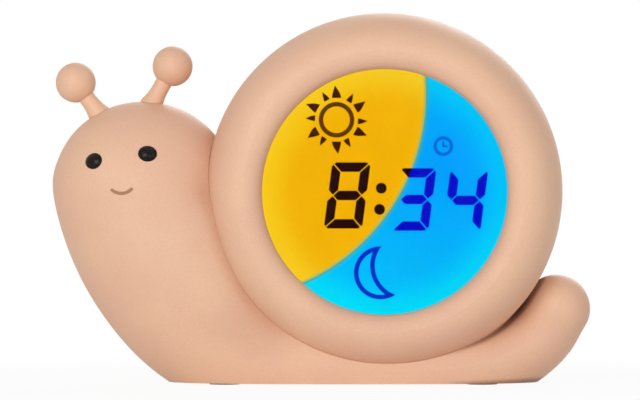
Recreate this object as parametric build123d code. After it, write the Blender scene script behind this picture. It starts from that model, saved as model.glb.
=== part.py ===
from build123d import *
import os
from math import cos, hypot, radians, sin, sqrt

# A child's alarm clock with a night light, in the shape of a snail. The round shell holds the
# two-colour backlit display in front, and the keys, switch, USB socket and battery bay behind.
# The body, in two halves that meet at y = 0, carries the shell, the antennae and the loudspeaker.
# Millimetres. +X to the tail, -Y to the front, +Z up, z = 0 under the rubber feet.

os.makedirs("parts", exist_ok=True)

# ---- Shell: a drum whose axis lies along Y ----
SHELL_X = 18.8
SHELL_R = 53.2
SHELL_RISE = 4.5        # from the table to the shell
SHELL_Z = SHELL_RISE + SHELL_R
SHELL_HALF_DEPTH = 28.0
EDGE_W = 11.2           # from the shell's side in to the crest, where its bands stand out furthest
CREST_R = SHELL_R - EDGE_W
EDGE_Y = 10.0           # the rounded edge starts this far from the middle plane
SHELL_WALL = 2.2
LIP_W = 5.5             # from the crest in to the rim of the display opening
LIP_R = CREST_R - LIP_W
LIP_DROP = 4.8          # from the crest in to the rim
LIP_T = 1.2
COLLAR_LAP = 3.5        # how far the window reaches under the lip
COLLAR_R = LIP_R + COLLAR_LAP  # collar that centres the window
COLLAR_WALL = 1.8
PANEL_EDGE = 3.5        # from the crest in to the flat rear panel
PANEL_R = CREST_R - PANEL_EDGE
PANEL_DROP = 2.0
TONGUE_T = 1.0          # tongue that centres the front ring on the rear cover
TONGUE_L = 1.5
KEY_ANGLES = (205.0, 292.0)
KEY_SIZE = 6.0
KEY_H = 2.0
SHELL_GAP = 0.3         # between the shell and the body that cradles it
FIT = 0.1               # between pieces that slide into each other
SCREW_FIT = 0.05

# ---- Body: an oval tube round a spine that runs from the head, under the shell, to the tail ----
HEAD_X = -53.4
HEAD_Z = 58.5
HEAD_A = 27.2
HEAD_H = 25.9
HEAD_DEPTH = 22.5       # half depth, as all depths below
# outer point, inner point (x, z) and half depth of each oval section
STATIONS = (
    ((-80.6, 58.5), (-23.0, 58.5), 22.5),
    ((-77.2, 43.5), (-16.5, 54.6), 22.7),
    ((-71.2, 29.5), (-14.0, 50.4), 22.9),
    ((-62.5, 16.2), (-13.0, 44.7), 22.9),
    ((-50.8, 4.1), (-12.0, 38.1), 22.6),
    ((-34.0, -6.0), (-9.0, 32.6), 22.1),
    ((-12.0, -12.5), (-1.3, 27.6), 21.6),
    ((13.0, -14.0), (13.0, 23.0), 21.1),
    ((36.0, -11.5), (29.0, 20.5), 20.4),
    ((54.0, -5.5), (42.7, 18.6), 18.9),
    ((67.5, 2.3), (52.5, 19.0), 16.0),
    ((75.4, 10.6), (59.5, 23.3), 13.6),
)
TIP_X = 70.4
TIP_Z = 22.3
TIP_R = 10.2
TIP_DEPTH = 11.2
TIP_LEAN = 53.0         # direction in which the tail ends, up from +X
CAP_ANGLES = (0, 18, 36, 52, 66, 78, 87)
BODY_WALL = 2.2
FLOOR_T = 2.2
CRADLE_T = 3.0
BASE_LIFT = 0.4         # the feet lift the base by this

# ---- Antennae, eyes and mouth ----
ANTENNAE = {"antenna_left": (-66.75, 80.75, -73.7, 90.1), "antenna_right": (-50.9, 83.6, -44.65, 95.0)}
BALL_R = 6.0
STALK_R = 2.5
STALK_ROOT_R = 3.45
FLARE_L = 5.0
PEG_R = 2.0
PEG_L = 5.0
PEG_FLANGE_R = 3.4
PEG_FLANGE_T = 1.2
EYES = {"eye_left": (-67.93, 66.85), "eye_right": (-51.75, 69.07)}
EYE_HALF_W = 2.75
EYE_HALF_H = 2.42
EYE_DOME = 1.0
EYE_SEAT = 0.5
EYE_PEG_R = 1.0
EYE_PEG_L = 2.6
SMILE = ((-62.3, 58.2), (-59.35, 57.25), (-56.5, 58.5))
SMILE_W = 0.9
SMILE_T = 0.6

# ---- Display stack, from the rim of the opening to the rear ----
SEAL_T = 0.5
SEAL_GAP = 0.4          # from the rim of the opening to the seal
WINDOW_T = 1.6
LCD_T = 2.2
LCD_LAP = 2.0           # how far the panel reaches past the rim of the opening
LCD_FLATS = 2 * (LIP_R + LCD_LAP)
LCD_LEDGE_W = 26.0
LCD_LEDGE_OUT = 4.0     # from the light box's side
BOX_LAP = 1.0           # how far the light box reaches over the collar
BOX_R = COLLAR_R + BOX_LAP
LCD_LEDGE_TOP = BOX_R + LCD_LEDGE_OUT
BOX_WALL = 1.8
BOX_DEPTH = 10.7
BOX_LEDGE = 1.6
LEDGE_T = 1.2
DIFFUSER_T = 1.9
DIVIDER_DX = -49.5      # centre of the arc that parts day from night, from the shell's axis
DIVIDER_DZ = 29.3
DIVIDER_R = 61.85
DIVIDER_T = 0.8
EAR_R = 3.4
EAR_REACH = 5.2         # from the light box's side out to a screw
EAR_AT_R = BOX_R + EAR_REACH
EAR_T = 2.0
EAR_ANGLES = (0.0, 120.0, 240.0)
LED_BOARD_T = 1.6
LED_L = 3.5
LED_W = 2.8
LED_H = 0.8
LED_PITCH = 12.0
LED_EDGE = 8.0          # from the light box's side in to the field of lamps
LED_FIELD_R = BOX_R - LED_EDGE
LED_WALL_GAP = 3.5

# ---- Screws ----
SHANK_R = 1.1
SHELL_SCREW_INSET = 1.2  # from the tongue to a screw's boss
SHELL_SCREW_ANGLES = (45.0, 135.0, 215.0, 325.0)  # the lower pair stands beside the battery bay
SHELL_SCREW_SEAT_Y = 6.0
SHELL_SCREW_L = 18.0
SHELL_SCREW_HEAD_R = 2.4
BOSS_R = 3.4
SHELL_SCREW_AT_R = SHELL_R - SHELL_WALL - SHELL_SCREW_INSET - BOSS_R
BODY_SCREWS = ((-56.0, 67.0), (-45.5, 22.0), (64.8, 13.8))
BODY_SCREW_SEAT_Y = 5.0
BODY_SCREW_L = 14.0
HEAD_T = 1.8
HEAD_CLEAR = 0.4
SMALL_SHANK_R = 0.9
SMALL_HEAD_R = 1.9
SMALL_HEAD_T = 1.4
SMALL_BOSS_R = 2.3
SMALL_SCREW_L = 5.5
BOX_SCREW_L = 9.5

# ---- Main board with the switches behind the keys ----
BOARD_T = 1.6
BOARD_DROP = 8.3        # from the rear panel's inside
BOARD_EDGE = 9.2        # from the shell's side
BOARD_R = SHELL_R - BOARD_EDGE
BOARD_LOW = 10.5        # lower edge, above the shell's axis
BOARD_SCREWS = ((-30.5, 13.2), (30.5, 13.2), (-22.0, 36.0), (22.0, 36.0))
SWITCH_SIZE = 6.0
SWITCH_H = 3.5
PLUNGER_R = 1.75
PLUNGER_OUT = 0.8
PLUNGER_IN = 2.2
KEY_ROW_DZ = 15.5
KEYS = {"set": (-21.0, KEY_ROW_DZ), "alarm": (-7.0, KEY_ROW_DZ), "minus": (7.0, KEY_ROW_DZ),
        "plus": (21.0, KEY_ROW_DZ)}
LIGHT_KEY = (-9.0, 28.5)
KEY_R = 4.3
LIGHT_KEY_W = 18.0
KEY_PROUD = 1.2
KEY_FLANGE = 1.0
KEY_FLANGE_T = 1.2
KEY_GAP = 0.3
KEY_TRAVEL = 0.6
STEM_R = 1.5
SLIDER_DX = 15.0
SLIDER_DZ = 28.5
SLIDER_TRAVEL = 4.0
KNOB_L = 4.0
KNOB_W = 2.6
KNOB_PROUD = 1.3
KNOB_GROOVE = 0.4
KNOB_GROOVE_PITCH = 0.8
SLIDER_BODY_L = 13.0
SLIDER_BODY_W = 5.6
SLIDER_BODY_H = 5.0
SLIDER_WELL = 2.5
RIBBON_W = 18.0
RIBBON_T = 0.3
RIBBON_BEND = 1.2
RIBBON_OUT = 1.6
RIBBON_START = 0.9      # from the light box's side
CONNECTOR_IN = 4.4      # from the main board's round edge
CONNECTOR_H = 2.4

# ---- Battery bay: three AAA cells that lie along X ----
CELL_D = 10.5
CELL_L = 43.4
CELL_NUB_R = 1.9
CELL_NUB_L = 1.1
CELL_PITCH = 11.2
BAY_DZ = -10.0
SPRING_ROOM = 4.5       # between a cell's flat end and its contact
BAY_SIDE_GAP = 0.55     # above and below the cells
BAY_WALL = 1.6
CELL_TOP_GAP = 1.2      # from a cell to the inner face of the rear panel
CELL_FLOOR_GAP = 0.2
RIB_H = 1.2             # ribs on the bay's floor, between the cells
RIB_T = 0.7
CONTACT_T = 0.4
CONTACT_W = 8.0
SPRING_R = 3.2
SPRING_WIRE_R = 0.3
SPRING_TURNS = 2
DOOR_LEDGE = 0.7
DOOR_GAP = 0.3
DOOR_LIFT = 0.3         # from the bay's rim to the door
DOOR_TABS = (-9.0, 9.0)
DOOR_TAB_W = 5.0
DOOR_TAB_OUT = 1.9
DOOR_TAB_T = 1.0
DOOR_GRIPS = 4          # grooves for the thumb
DOOR_GRIP_PITCH = 3.0
DOOR_GRIP_L = 8.0
DOOR_GRIP_W = 1.2
DOOR_GRIP_DEEP = 0.5
DOOR_GRIP_IN = 7.9      # from the bay's side to the grooves
DOOR_EAR_OUT = 3.7      # from the bay's side to the door's screw
DOOR_EAR_R = 4.2
DOOR_SCREW_HEAD_R = 2.3
DOOR_SCREW_HEAD_T = 0.9
DOOR_SCREW_L = 4.4
DOOR_SCREW_CLEAR = 0.45
DOOR_BOSS_R = 2.9
DOOR_BOSS_L = 8.0
TRAY_EAR_OUT = 5.4      # from the bay's side to the tray's screws
TRAY_EAR_UP = 13.5      # from the bay's middle up to the screw on the tail's side
TRAY_EAR_T = 1.6
TRAY_EAR_DROP = 3.8

# ---- USB-C inlet ----
USB_DZ = -33.0
USB_W = 8.94
USB_H = 3.26
USB_SHELL_T = 0.3
USB_DEPTH = 9.3
USB_CAVITY = 7.5
USB_TONGUE_W = 6.7
USB_TONGUE_T = 0.7
USB_TONGUE_L = 5.5
USB_GAP = 0.25
USB_SINK = 0.3          # from the panel in to the socket's mouth
USB_BOARD_W = 22.0
USB_BOARD_H = 7.4
USB_SCREW_DX = 8.3
USB_SCREW_L = 6.0

# ---- Loudspeaker in the neck, facing the rear ----
SPEAKER_ANGLE = 191.4    # from the shell's axis
SPEAKER_GAP = 2.2       # from the cradle
SPEAKER_R = 13.0
SPEAKER_SEAT_Y = 12.4
SPEAKER_FLANGE_T = 1.0
SPEAKER_BASKET_R = 11.4
SPEAKER_BASKET_H = 6.0
MAGNET_R = 7.5
MAGNET_H = 4.0
SEAT_RING_W = 1.6
GRILLE_HOLE_R = 0.9
GRILLE_PITCH = 4.0
GRILLE_RINGS = 2

# ---- Rubber feet and leads ----
FEET = ((-29.0, -9.5), (-29.0, 9.5), (48.0, -9.5), (48.0, 9.5))
FOOT_R = 4.5
FOOT_T = 1.2
LEAD_R = 0.8
LEAD_HOLE_R = 1.8
LEAD_ANGLE = 190.0
LEAD_Y = 7.0
CHIP_H = 1.4

# ---- Sizes that follow from those above ----
SPEAKER_AT_R = SHELL_R + SHELL_GAP + CRADLE_T + SPEAKER_GAP + SPEAKER_R
SPEAKER_X = SHELL_X + SPEAKER_AT_R * cos(radians(SPEAKER_ANGLE))
SPEAKER_Z = SHELL_Z + SPEAKER_AT_R * sin(radians(SPEAKER_ANGLE))
BAY_HALF_W = (CELL_L + CELL_NUB_L + SPRING_ROOM + 2 * CONTACT_T) / 2
BAY_HALF_H = (2 * CELL_PITCH + CELL_D) / 2 + BAY_SIDE_GAP
DOOR_EAR_DX = BAY_HALF_W + DOOR_EAR_OUT
TRAY_EARS = ((BAY_HALF_W + TRAY_EAR_OUT, BAY_DZ + TRAY_EAR_UP), (-BAY_HALF_W - TRAY_EAR_OUT, BAY_DZ))
# Levels along Y
RIM_Y = -(SHELL_HALF_DEPTH - LIP_DROP)
SEAT_Y = RIM_Y + LIP_T
WINDOW_Y = SEAT_Y + SEAL_T
LCD_Y = WINDOW_Y + WINDOW_T
BOX_Y = LCD_Y + LCD_T
BOX_REAR_Y = BOX_Y + BOX_DEPTH
LED_BOARD_REAR_Y = BOX_REAR_Y + LED_BOARD_T
PANEL_OUT_Y = SHELL_HALF_DEPTH - PANEL_DROP
PANEL_IN_Y = PANEL_OUT_Y - SHELL_WALL
BOARD_Y = PANEL_IN_Y - BOARD_DROP
BOARD_REAR_Y = BOARD_Y + BOARD_T
SWITCH_TOP_Y = BOARD_REAR_Y + SWITCH_H
CELL_Y = PANEL_IN_Y - CELL_TOP_GAP - CELL_D / 2
BAY_FLOOR_Y = CELL_Y - CELL_D / 2 - CELL_FLOOR_GAP
DOOR_Y = PANEL_IN_Y + DOOR_LIFT
USB_BOARD_REAR_Y = PANEL_OUT_Y - USB_SINK - USB_DEPTH
USB_BOARD_Y = USB_BOARD_REAR_Y - BOARD_T
FAR = 200.0             # longer than anything that is cut


# ---- Shared shapes ----
def save(node, *solids):
    """Write one node."""
    shape = solids[0] if len(solids) == 1 else Compound(children=list(solids))
    export_step(shape, f"parts/{node}.step")
    return shape


def block(x0, x1, y0, y1, z0, z1):
    """Box between its limits."""
    return Pos((x0 + x1) / 2, (y0 + y1) / 2, (z0 + z1) / 2) * Box(x1 - x0, y1 - y0, z1 - z0)


def rod(x, z, r, y0, y1):
    """Round bar along Y."""
    return Pos(x, (y0 + y1) / 2, z) * Rot(90, 0, 0) * Cylinder(r, y1 - y0)


def tube(x, z, r_out, r_in, y0, y1):
    """Round tube along Y."""
    return rod(x, z, r_out, y0, y1) - rod(x, z, r_in, y0, y1)


def in_shell(shape):
    """Place a shape, drawn about the shell's axis, in the shell."""
    return Pos(SHELL_X, 0, SHELL_Z) * shape


def spun(profile):
    """Turn a face of (radius, y) about the shell's axis."""
    return in_shell(revolve(profile, Axis.Y, 360))


def at_angle(r, angle):
    """Offsets (dx, dz) from the shell's axis of a point at a radius and an angle up from +X."""
    return r * cos(radians(angle)), r * sin(radians(angle))


def plate(sketch, y0, y1):
    """Thicken a sketch, drawn with X to +X and Y to +Z, from y0 to y1."""
    face = Plane(origin=(0, y1, 0), x_dir=(1, 0, 0), z_dir=(0, -1, 0)) * sketch
    return extrude(face, y1 - y0)


def cross_recess(x, z, top_y, size, depth):
    """The cross that a driver turns, cut from the rear face at top_y."""
    bars = [block(x - a, x + a, top_y - depth, top_y + 1, z - b, z + b)
            for a, b in ((size, size / 4), (size / 4, size))]
    return bars[0] + bars[1]


def screw(x, z, seat_y, shank_r, length, head_r, head_t):
    """Screw along Y with its head on the rear side of seat_y."""
    body = rod(x, z, shank_r, seat_y - length, seat_y) + rod(x, z, head_r, seat_y, seat_y + head_t)
    return body - cross_recess(x, z, seat_y + head_t, head_r * 0.55, head_t * 0.5)


def front_screw(x, z, seat_y, shank_r, length, head_r, head_t):
    """Screw along Y with its head on the front side of seat_y."""
    return mirror(screw(x, z, -seat_y, shank_r, length, head_r, head_t), Plane.XZ)


# ---- Shell ----
def band_arc(side, grow=0.0):
    """Rounded edge of the shell, from the middle of its side to the crest, in (radius, y)."""
    a = SHELL_R - CREST_R + grow
    b = SHELL_HALF_DEPTH - EDGE_Y + grow
    arc = EllipticalCenterArc((CREST_R, EDGE_Y), a, b, 0, arc_size=90)
    return arc if side > 0 else mirror(arc, Plane.XZ)


def shell_space(grow):
    """The whole outside of the shell, grown by a gap or a wall."""
    top = SHELL_HALF_DEPTH + grow
    side = SHELL_R + grow
    outline = [band_arc(1, grow), band_arc(-1, grow), Line((side, EDGE_Y), (side, -EDGE_Y)),
               Polyline((CREST_R, top), (0, top), (0, -top), (CREST_R, -top))]
    return spun(make_face(outline))


def span_block(r0, r1, y0, y1):
    """Rectangle between two radii and two levels, in (radius, y)."""
    return Pos((r0 + r1) / 2, (y0 + y1) / 2) * Rectangle(r1 - r0, y1 - y0)


def shell_hollow(side):
    """The inside of one half of the shell's wall, in (radius, y)."""
    inner = SHELL_R - SHELL_WALL
    top = side * (SHELL_HALF_DEPTH - SHELL_WALL)
    rest = Polyline((CREST_R, top), (0, top), (0, 0), (inner, 0), (inner, side * EDGE_Y))
    room = Sketch() + make_face([band_arc(side, -SHELL_WALL), rest])
    if side > 0:
        panel = Polyline((0, PANEL_IN_Y), (PANEL_R, PANEL_IN_Y), (CREST_R, top), (CREST_R, FAR), (0, FAR),
                         close=True)
        return room - make_face(panel)
    room -= span_block(0, COLLAR_R + COLLAR_WALL, -FAR, LCD_Y)
    return room + span_block(0, COLLAR_R, SEAT_Y, LCD_Y + 0.01)


def shell_bosses(r, angles, boss_r, y0, y1):
    """Round bosses along Y on a circle about the shell's axis."""
    return [in_shell(rod(*at_angle(r, a), boss_r, y0, y1)) for a in angles]


def shell_front_ring():
    lip = mirror(EllipticalCenterArc((CREST_R, -RIM_Y), CREST_R - LIP_R, LIP_DROP, 90, arc_size=90), Plane.XZ)
    rest = Polyline((LIP_R, RIM_Y), (LIP_R, 0), (SHELL_R, 0), (SHELL_R, -EDGE_Y))
    ring = spun(make_face([lip, band_arc(-1), rest]))
    hollow = spun(shell_hollow(-1))
    for boss in shell_bosses(SHELL_SCREW_AT_R, SHELL_SCREW_ANGLES, BOSS_R - 0.2, -SHELL_HALF_DEPTH, 0):
        hollow -= boss
    for boss in shell_bosses(EAR_AT_R, EAR_ANGLES, EAR_R - 0.4, -SHELL_HALF_DEPTH, BOX_REAR_Y - EAR_T):
        hollow -= boss
    ring -= hollow
    bore_r = SHANK_R + SCREW_FIT
    tip = SHELL_SCREW_SEAT_Y - SHELL_SCREW_L - 0.5
    for bore in shell_bosses(SHELL_SCREW_AT_R, SHELL_SCREW_ANGLES, bore_r, tip, 0.1):
        ring -= bore
    for bore in shell_bosses(EAR_AT_R, EAR_ANGLES, bore_r, LED_BOARD_REAR_Y - BOX_SCREW_L - 0.5, 0):
        ring -= bore
    return ring


def rear_panel_cuts():
    """Everything that passes through the flat rear panel."""
    y0, y1 = PANEL_IN_Y - 1, FAR
    cuts = [in_shell(rod(dx, dz, KEY_R + KEY_GAP, y0, y1)) for dx, dz in KEYS.values()]
    dx, dz = LIGHT_KEY
    slot = SlotOverall(LIGHT_KEY_W + 2 * KEY_GAP, 2 * (KEY_R + KEY_GAP))
    cuts.append(in_shell(plate(Pos(dx, dz) * slot, y0, y1)))
    slot = RectangleRounded(KNOB_L + SLIDER_TRAVEL + 2 * KEY_GAP, KNOB_W + 2 * KEY_GAP, 2 * KEY_GAP)
    cuts.append(in_shell(plate(Pos(SLIDER_DX, SLIDER_DZ) * slot, y0, y1)))
    usb = SlotOverall(USB_W + 2 * USB_GAP, USB_H + 2 * USB_GAP)
    cuts.append(in_shell(plate(Pos(0, USB_DZ) * usb, y0, y1)))
    cuts.append(in_shell(plate(door_outline(DOOR_GAP), y0, y1)))
    return cuts


def door_outline(grow):
    """Outline of the battery door with its ear for the screw, about the shell's axis."""
    half_w = BAY_HALF_W + DOOR_LEDGE - DOOR_GAP + grow
    half_h = BAY_HALF_H + DOOR_LEDGE - DOOR_GAP + grow
    main = Pos(0, BAY_DZ) * RectangleRounded(2 * half_w, 2 * half_h, 1.0 + grow)
    ear = Pos(DOOR_EAR_DX, BAY_DZ) * Circle(DOOR_EAR_R + grow)
    neck = Rectangle(DOOR_EAR_DX - BAY_HALF_W, 2 * (DOOR_EAR_R + grow))
    return main + ear + Pos((DOOR_EAR_DX + BAY_HALF_W) / 2, BAY_DZ) * neck


def key_block(angle, gap):
    """Key on the shell's side that stops it turning in the body."""
    x1 = SHELL_R + KEY_H + gap
    half = KEY_SIZE / 2 + gap
    return in_shell(Rot(0, -angle, 0) * block(SHELL_R - SHELL_WALL / 2, x1, 0, KEY_SIZE + gap, -half, half))


def lead_hole():
    """Radial hole for the loudspeaker's lead."""
    bar = Pos(SHELL_R, LEAD_Y, 0) * Rot(0, 90, 0) * Cylinder(LEAD_HOLE_R, 12)
    return in_shell(Rot(0, -LEAD_ANGLE, 0) * bar)


def shell_rear_cover():
    rise = EllipticalCenterArc((CREST_R, PANEL_OUT_Y), CREST_R - PANEL_R, PANEL_DROP, 90, arc_size=90)
    rest = Polyline((PANEL_R, PANEL_OUT_Y), (0, PANEL_OUT_Y), (0, 0), (SHELL_R, 0), (SHELL_R, EDGE_Y))
    cover = spun(make_face([rise, band_arc(1), rest]))
    hollow = spun(shell_hollow(1))
    for boss in shell_bosses(SHELL_SCREW_AT_R, SHELL_SCREW_ANGLES, BOSS_R, 0, SHELL_HALF_DEPTH):
        hollow -= boss
    for dx, dz in BOARD_SCREWS:
        hollow -= in_shell(rod(dx, dz, SMALL_BOSS_R, BOARD_REAR_Y, SHELL_HALF_DEPTH))
    for dx, dz in TRAY_EARS:
        hollow -= in_shell(rod(dx, dz, SMALL_BOSS_R, PANEL_IN_Y - TRAY_EAR_DROP, SHELL_HALF_DEPTH))
    for dx in (-USB_SCREW_DX, USB_SCREW_DX):
        hollow -= in_shell(rod(dx, USB_DZ, SMALL_BOSS_R, USB_BOARD_REAR_Y, SHELL_HALF_DEPTH))
    cover -= hollow
    inner = SHELL_R - SHELL_WALL
    tongue_out = inner - FIT
    tongue = in_shell(tube(0, 0, tongue_out, tongue_out - TONGUE_T, -TONGUE_L, 2.0))
    tongue += in_shell(tube(0, 0, inner + 0.5, tongue_out - TONGUE_T, 0, 2.0))
    cover += tongue
    for angle in KEY_ANGLES:
        cover += key_block(angle, 0.0)
    for cut in rear_panel_cuts():
        cover -= cut
    for angle in SHELL_SCREW_ANGLES:
        dx, dz = at_angle(SHELL_SCREW_AT_R, angle)
        cover -= in_shell(rod(dx, dz, SHANK_R + 0.3, -1, SHELL_SCREW_SEAT_Y + 1))
        cover -= in_shell(rod(dx, dz, SHELL_SCREW_HEAD_R + HEAD_CLEAR, SHELL_SCREW_SEAT_Y, FAR))
    bore_r = SMALL_SHANK_R + SCREW_FIT
    for dx, dz in BOARD_SCREWS:
        cover -= in_shell(rod(dx, dz, bore_r, BOARD_REAR_Y - 1, BOARD_Y + SMALL_SCREW_L + 0.3))
    ear_y = PANEL_IN_Y - TRAY_EAR_DROP
    for dx, dz in TRAY_EARS:
        cover -= in_shell(rod(dx, dz, bore_r, ear_y - 1, ear_y - TRAY_EAR_T + SMALL_SCREW_L + 0.3))
    for dx in (-USB_SCREW_DX, USB_SCREW_DX):
        cover -= in_shell(rod(dx, USB_DZ, bore_r, USB_BOARD_REAR_Y - 1, USB_BOARD_Y + USB_SCREW_L + 0.3))
    return cover - lead_hole()


# ---- Body ----
def oval(x, z, ux, uz, half, depth):
    """Oval section of the body, centred at (x, z), its long axis along (ux, uz)."""
    return Plane(origin=(x, 0, z), x_dir=(ux, 0, uz), z_dir=(uz, 0, -ux)) * Ellipse(half, depth)


def body_form(inset):
    """The body's outside, drawn in by a wall."""
    sections = []
    for angle in reversed(CAP_ANGLES[1:]):
        rise, share = sin(radians(angle)), cos(radians(angle))
        z = HEAD_Z + (HEAD_H - inset) * rise
        sections.append(oval(HEAD_X, z, 1, 0, (HEAD_A - inset) * share, (HEAD_DEPTH - inset) * share))
    for (x0, z0), (x1, z1), depth in STATIONS:
        span = hypot(x1 - x0, z1 - z0)
        ux, uz = (x1 - x0) / span, (z1 - z0) / span
        sections.append(oval((x0 + x1) / 2, (z0 + z1) / 2, ux, uz, span / 2 - inset, depth - inset))
    lean_x, lean_z = cos(radians(TIP_LEAN)), sin(radians(TIP_LEAN))
    for angle in CAP_ANGLES:
        rise, share = (TIP_R - inset) * sin(radians(angle)), cos(radians(angle))
        sections.append(oval(TIP_X + lean_x * rise, TIP_Z + lean_z * rise, -lean_z, lean_x,
                             (TIP_R - inset) * share, (TIP_DEPTH - inset) * share))
    return loft(sections)


def speaker_seat():
    """Ring that the loudspeaker's rim is seated in."""
    out_r = SPEAKER_R + FIT + SEAT_RING_W
    ring = tube(SPEAKER_X, SPEAKER_Z, out_r, SPEAKER_R + FIT, SPEAKER_SEAT_Y - SPEAKER_FLANGE_T, FAR)
    return ring + tube(SPEAKER_X, SPEAKER_Z, out_r, SPEAKER_BASKET_R - 0.4, SPEAKER_SEAT_Y, FAR)


def grille_points():
    """Hole centres of the loudspeaker's grille, ring by ring."""
    points = [(SPEAKER_X, SPEAKER_Z)]
    for ring in range(1, GRILLE_RINGS + 1):
        for step in range(6 * ring):
            dx, dz = at_angle(ring * GRILLE_PITCH, 360.0 * step / (6 * ring))
            points.append((SPEAKER_X + dx, SPEAKER_Z + dz))
    return points


def head_y(x, z):
    """Front surface of the head at (x, z), above the first station."""
    return -HEAD_DEPTH * sqrt(1 - ((x - HEAD_X) / HEAD_A) ** 2 - ((z - HEAD_Z) / HEAD_H) ** 2)


def eye_plane(x, z):
    """Plane on the head's surface with its normal outwards and its x level."""
    y = head_y(x, z)
    normal = ((x - HEAD_X) / HEAD_A ** 2, y / HEAD_DEPTH ** 2, (z - HEAD_Z) / HEAD_H ** 2)
    return Plane(origin=(x, y, z), x_dir=(-normal[1], normal[0], 0), z_dir=normal)


def antenna_plane(root_x, root_z, ball_x, ball_z):
    """Plane at an antenna's root with its normal along the stalk."""
    return Plane(origin=(root_x, 0, root_z), x_dir=(0, 1, 0), z_dir=(ball_x - root_x, 0, ball_z - root_z))


def antenna_hole(place):
    """Hole that the antenna's peg passes through."""
    return antenna_plane(*place) * (Pos(0, 0, -1) * Cylinder(PEG_R + FIT, 2 * PEG_L))


def smile_band(gap):
    """Arc of the mouth, as wide as its stroke, through the front."""
    arc = ThreePointArc(*[(x, z) for x, z in SMILE])
    return plate(SlotArc(arc, SMILE_W + 2 * gap), -FAR / 2, -1)


def foot_at(x, y, r, top):
    """Round pad under the base."""
    return Pos(x, y, top / 2) * Cylinder(r, top)


def body_shells(form, inner, skin):
    """The front and rear halves of the body."""
    base = Pos(0, 0, BASE_LIFT - FAR / 2) * Box(2 * FAR, 2 * FAR, FAR)
    floor = Pos(0, 0, FLOOR_T) * base
    outside = form - base - shell_space(SHELL_GAP)
    cavity = inner - floor - shell_space(SHELL_GAP + CRADLE_T)
    front_half = Pos(0, -FAR / 2, 0) * Box(2 * FAR, FAR, 2 * FAR)
    rear_half = Pos(0, FAR / 2, 0) * Box(2 * FAR, FAR, 2 * FAR)
    bore_r = SHANK_R + SCREW_FIT

    front_cavity = cavity & front_half
    rear_cavity = cavity & rear_half
    for x, z in BODY_SCREWS:
        front_cavity -= rod(x, z, BOSS_R, -FAR, 0)
        rear_cavity -= rod(x, z, BOSS_R, 0, FAR)
    rear_cavity -= speaker_seat()

    front = (outside & front_half) - front_cavity
    rear = (outside & rear_half) - rear_cavity
    for x, z in BODY_SCREWS:
        front -= rod(x, z, bore_r, BODY_SCREW_SEAT_Y - BODY_SCREW_L - 0.5, 1)
        rear -= rod(x, z, SHANK_R + 0.3, -1, BODY_SCREW_SEAT_Y + 1)
        rear -= rod(x, z, SHELL_SCREW_HEAD_R + HEAD_CLEAR, BODY_SCREW_SEAT_Y, FAR)
    for x, z in grille_points():
        rear -= rod(x, z, GRILLE_HOLE_R, SPEAKER_SEAT_Y - 1, FAR)
    for angle in KEY_ANGLES:
        rear -= key_block(angle, 0.25)
    rear -= lead_hole()
    for place in ANTENNAE.values():
        front -= antenna_hole(place)
        rear -= antenna_hole(place)
    for x, z in EYES.values():
        place = eye_plane(x, z)
        outline = Ellipse(EYE_HALF_W + FIT, EYE_HALF_H + FIT)
        front -= place * (Pos(0, 0, -EYE_SEAT) * extrude(outline, amount=8))
        front -= place * Cylinder(EYE_PEG_R + FIT, 4 * EYE_PEG_L)
    front -= smile_band(SCREW_FIT) & skin
    for x, y in FEET:
        pocket = foot_at(x, y, FOOT_R + FIT, FOOT_T)
        if y < 0:
            front -= pocket
        else:
            rear -= pocket
    return front, rear


def antenna(place, form):
    """Ball on a stalk that flares into the head, with a flanged peg held between the halves."""
    root_x, root_z, ball_x, ball_z = place
    length = hypot(ball_x - root_x, ball_z - root_z)
    sink = 3.0
    flare = ThreePointArc((STALK_ROOT_R, 0), (STALK_R + 0.35, FLARE_L * 0.42), (STALK_R, FLARE_L))
    rest = Polyline((STALK_R, FLARE_L), (STALK_R, length), (0, length), (0, -sink), (STALK_ROOT_R, -sink),
                    (STALK_ROOT_R, 0))
    stalk = revolve(Plane.XZ * make_face([flare, rest]), Axis.Z, 360)
    piece = antenna_plane(*place) * (stalk + Pos(0, 0, length) * Sphere(BALL_R)) - form
    peg = Pos(0, 0, -PEG_L / 2 + 1.0) * Cylinder(PEG_R, PEG_L + 2.0)
    peg += Pos(0, 0, -PEG_L) * Cylinder(PEG_FLANGE_R, PEG_FLANGE_T)
    return piece + antenna_plane(*place) * peg


def eye(x, z):
    """Glossy oval dome on a peg."""
    dome_r = (EYE_HALF_H ** 2 + EYE_DOME ** 2) / (2 * EYE_DOME)
    ball = Pos(0, 0, EYE_DOME - dome_r) * Sphere(dome_r)
    dome = ball & Pos(0, 0, EYE_DOME) * Cylinder(EYE_HALF_H, 2 * EYE_DOME)
    cap = scale(dome, by=(EYE_HALF_W / EYE_HALF_H, 1, 1))
    seat = extrude(Ellipse(EYE_HALF_W, EYE_HALF_H), amount=-EYE_SEAT)
    peg = Pos(0, 0, -EYE_PEG_L / 2) * Cylinder(EYE_PEG_R, EYE_PEG_L)
    return eye_plane(x, z) * (cap + seat + peg)


# ---- Display ----
def window_seal():
    return in_shell(tube(0, 0, COLLAR_R - FIT, LIP_R + SEAL_GAP, SEAT_Y, WINDOW_Y))


def display_window():
    return in_shell(rod(0, 0, COLLAR_R - FIT, WINDOW_Y, LCD_Y))


def lcd_panel():
    eight = RegularPolygon(LCD_FLATS / 2, 8, major_radius=False, rotation=22.5)
    ledge = Pos(0, LCD_LEDGE_TOP / 2) * Rectangle(LCD_LEDGE_W, LCD_LEDGE_TOP)
    return in_shell(plate(eight, LCD_Y, BOX_Y) + plate(ledge, LCD_Y, LCD_Y + LCD_T / 2))


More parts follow.
